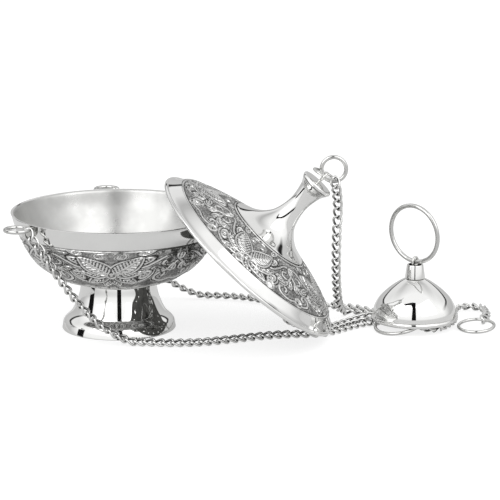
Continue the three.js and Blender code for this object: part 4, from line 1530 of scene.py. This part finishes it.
@dataclass
class Cap:
    """The small domed cap with its collar, handle ring and gathering ring.

    The lip's underside is at base, and height counts from there. The spindle is the shank
    of the eye that holds the handle, and spindle_foot counts from the table.
    """

    x: float = 166.9
    y: float = 0.0
    base: float = 4.2
    radius: float = 24.2
    lip: float = 3.0
    height: float = 23.8
    wall: float = 1.2
    collar_foot: float = 5.7
    collar_top: float = 4.7
    collar_height: float = 7.8
    collar_wall: float = 1.0
    spindle: float = 1.3
    spindle_foot: float = 22.0
    eye_radius: float = 2.4
    eye_wire: float = 1.4
    handle_radius: float = 16.2
    handle_wire: float = 2.5
    handle_yaw: float = -40.0
    handle_lean: float = 4.3
    handle_lift: float = 0.4
    gather_radius: float = 13.4
    gather_wire: float = 1.9
    gather_azimuth: float = 225.0
    gather_tilt: float = 14.0

    def dome(self) -> None:
        """The cap's dome: rolled lip, shoulder and a shallow bell up to the collar."""
        shares = [(0.97, self.lip / self.height), (0.945, 0.26), (0.885, 0.39), (0.75, 0.555),
                  (0.5, 0.745), (0.2, 0.915), (0, 1)]
        size = (self.radius - self.collar_foot, self.height)
        curve = spline(from_shares(shares, (self.collar_foot, 0), size), per_span=12)
        inner = offset(curve, -self.wall)[::-1]
        inner[0] = (self.collar_foot - self.wall, self.height - self.wall)
        hole = self.spindle + GAP
        profile = np.vstack([
            rolled_lip(self.radius, self.lip / 2, end=0.45), curve,
            [(hole, self.height), (hole, self.height - self.wall)], inner,
            [(self.radius - self.wall - 0.3, 0.1)],
        ])
        bell = moved(turned(profile, segments=192), place(self.x, self.y, self.base))
        make("cap_bell", bell, MIRROR, "cap", "cap_dome", crease=35)

    def collar(self) -> None:
        """The tapered collar, the eye inside its mouth and the handle in the eye."""
        low = self.base + self.height + GAP
        top, floor = low + self.collar_height, low + self.collar_wall
        hole, inside = self.spindle + GAP, self.collar_top - self.collar_wall
        collar = turned(np.array([
            (hole, low), (self.collar_foot - 0.2, low), (self.collar_foot, low + 0.2),
            (self.collar_top, top - 0.4), (self.collar_top - 0.12, top - 0.1),
            (self.collar_top - 0.4, top), (inside, top), (inside, floor), (hole, floor),
        ]), segments=96)
        axis = place(self.x, self.y)
        make("collar_turned", moved(collar, axis), MIRROR, "collar", "cap_collar", crease=35)
        centre = top + self.handle_wire / 2 + self.handle_lift
        eye = eye_bolt(self.eye_radius, self.eye_wire, self.spindle, self.spindle_foot, centre,
                       ("Z", self.handle_yaw + 90), ("X", 90))
        make("cap_eye_bent", moved(eye, axis), SATIN, "collar", "cap_eye_bolt")
        ring = hoop(self.handle_radius, self.handle_wire, steps=160, sides=24)
        upright = moved(ring, place(0, 0, self.handle_radius, ("X", 90)))
        hang = place(self.x, self.y, centre, ("Z", self.handle_yaw), ("X", self.handle_lean))
        make("handle_hoop", moved(upright, hang), WIRE, "handle", "handle_ring")

    def gathering(self) -> None:
        """The ring that holds the bowl's chains under the cap."""
        ring = leaning_hoop(self.gather_radius, self.gather_wire, self.gather_tilt, self.x,
                            self.y, self.gather_azimuth)
        make("gathering_hoop", ring, WIRE, "cap", "gathering_ring")

    def build(self) -> None:
        """Makes the cap's pieces."""
        self.dome()
        self.collar()
        self.gathering()
        dress("cap_hook", SATIN)


@dataclass
class LiftRing:
    """The ring at the free end of the lid's chain, which it leans on."""

    radius: float = 10.0
    wire: float = 1.8
    tilt: float = 7.0
    azimuth: float = 245.0
    x: float = 205.6
    y: float = 2.4

    def build(self) -> None:
        """Makes the ring."""
        ring = leaning_hoop(self.radius, self.wire, self.tilt, self.x, self.y, self.azimuth)
        make("lift_hoop", ring, WIRE, "lift", "lift_ring")


def main() -> None:
    """Builds the scene: camera and chains first, then the vessel, then the studio."""
    logging.basicConfig(level=logging.INFO, format="%(message)s")
    studio = Studio()
    studio.camera()
    for part in (*chains(), Bowl(), Lid(), Cap(), LiftRing()):
        part.build()
    studio.build()


if __name__ == "__main__":
    main()
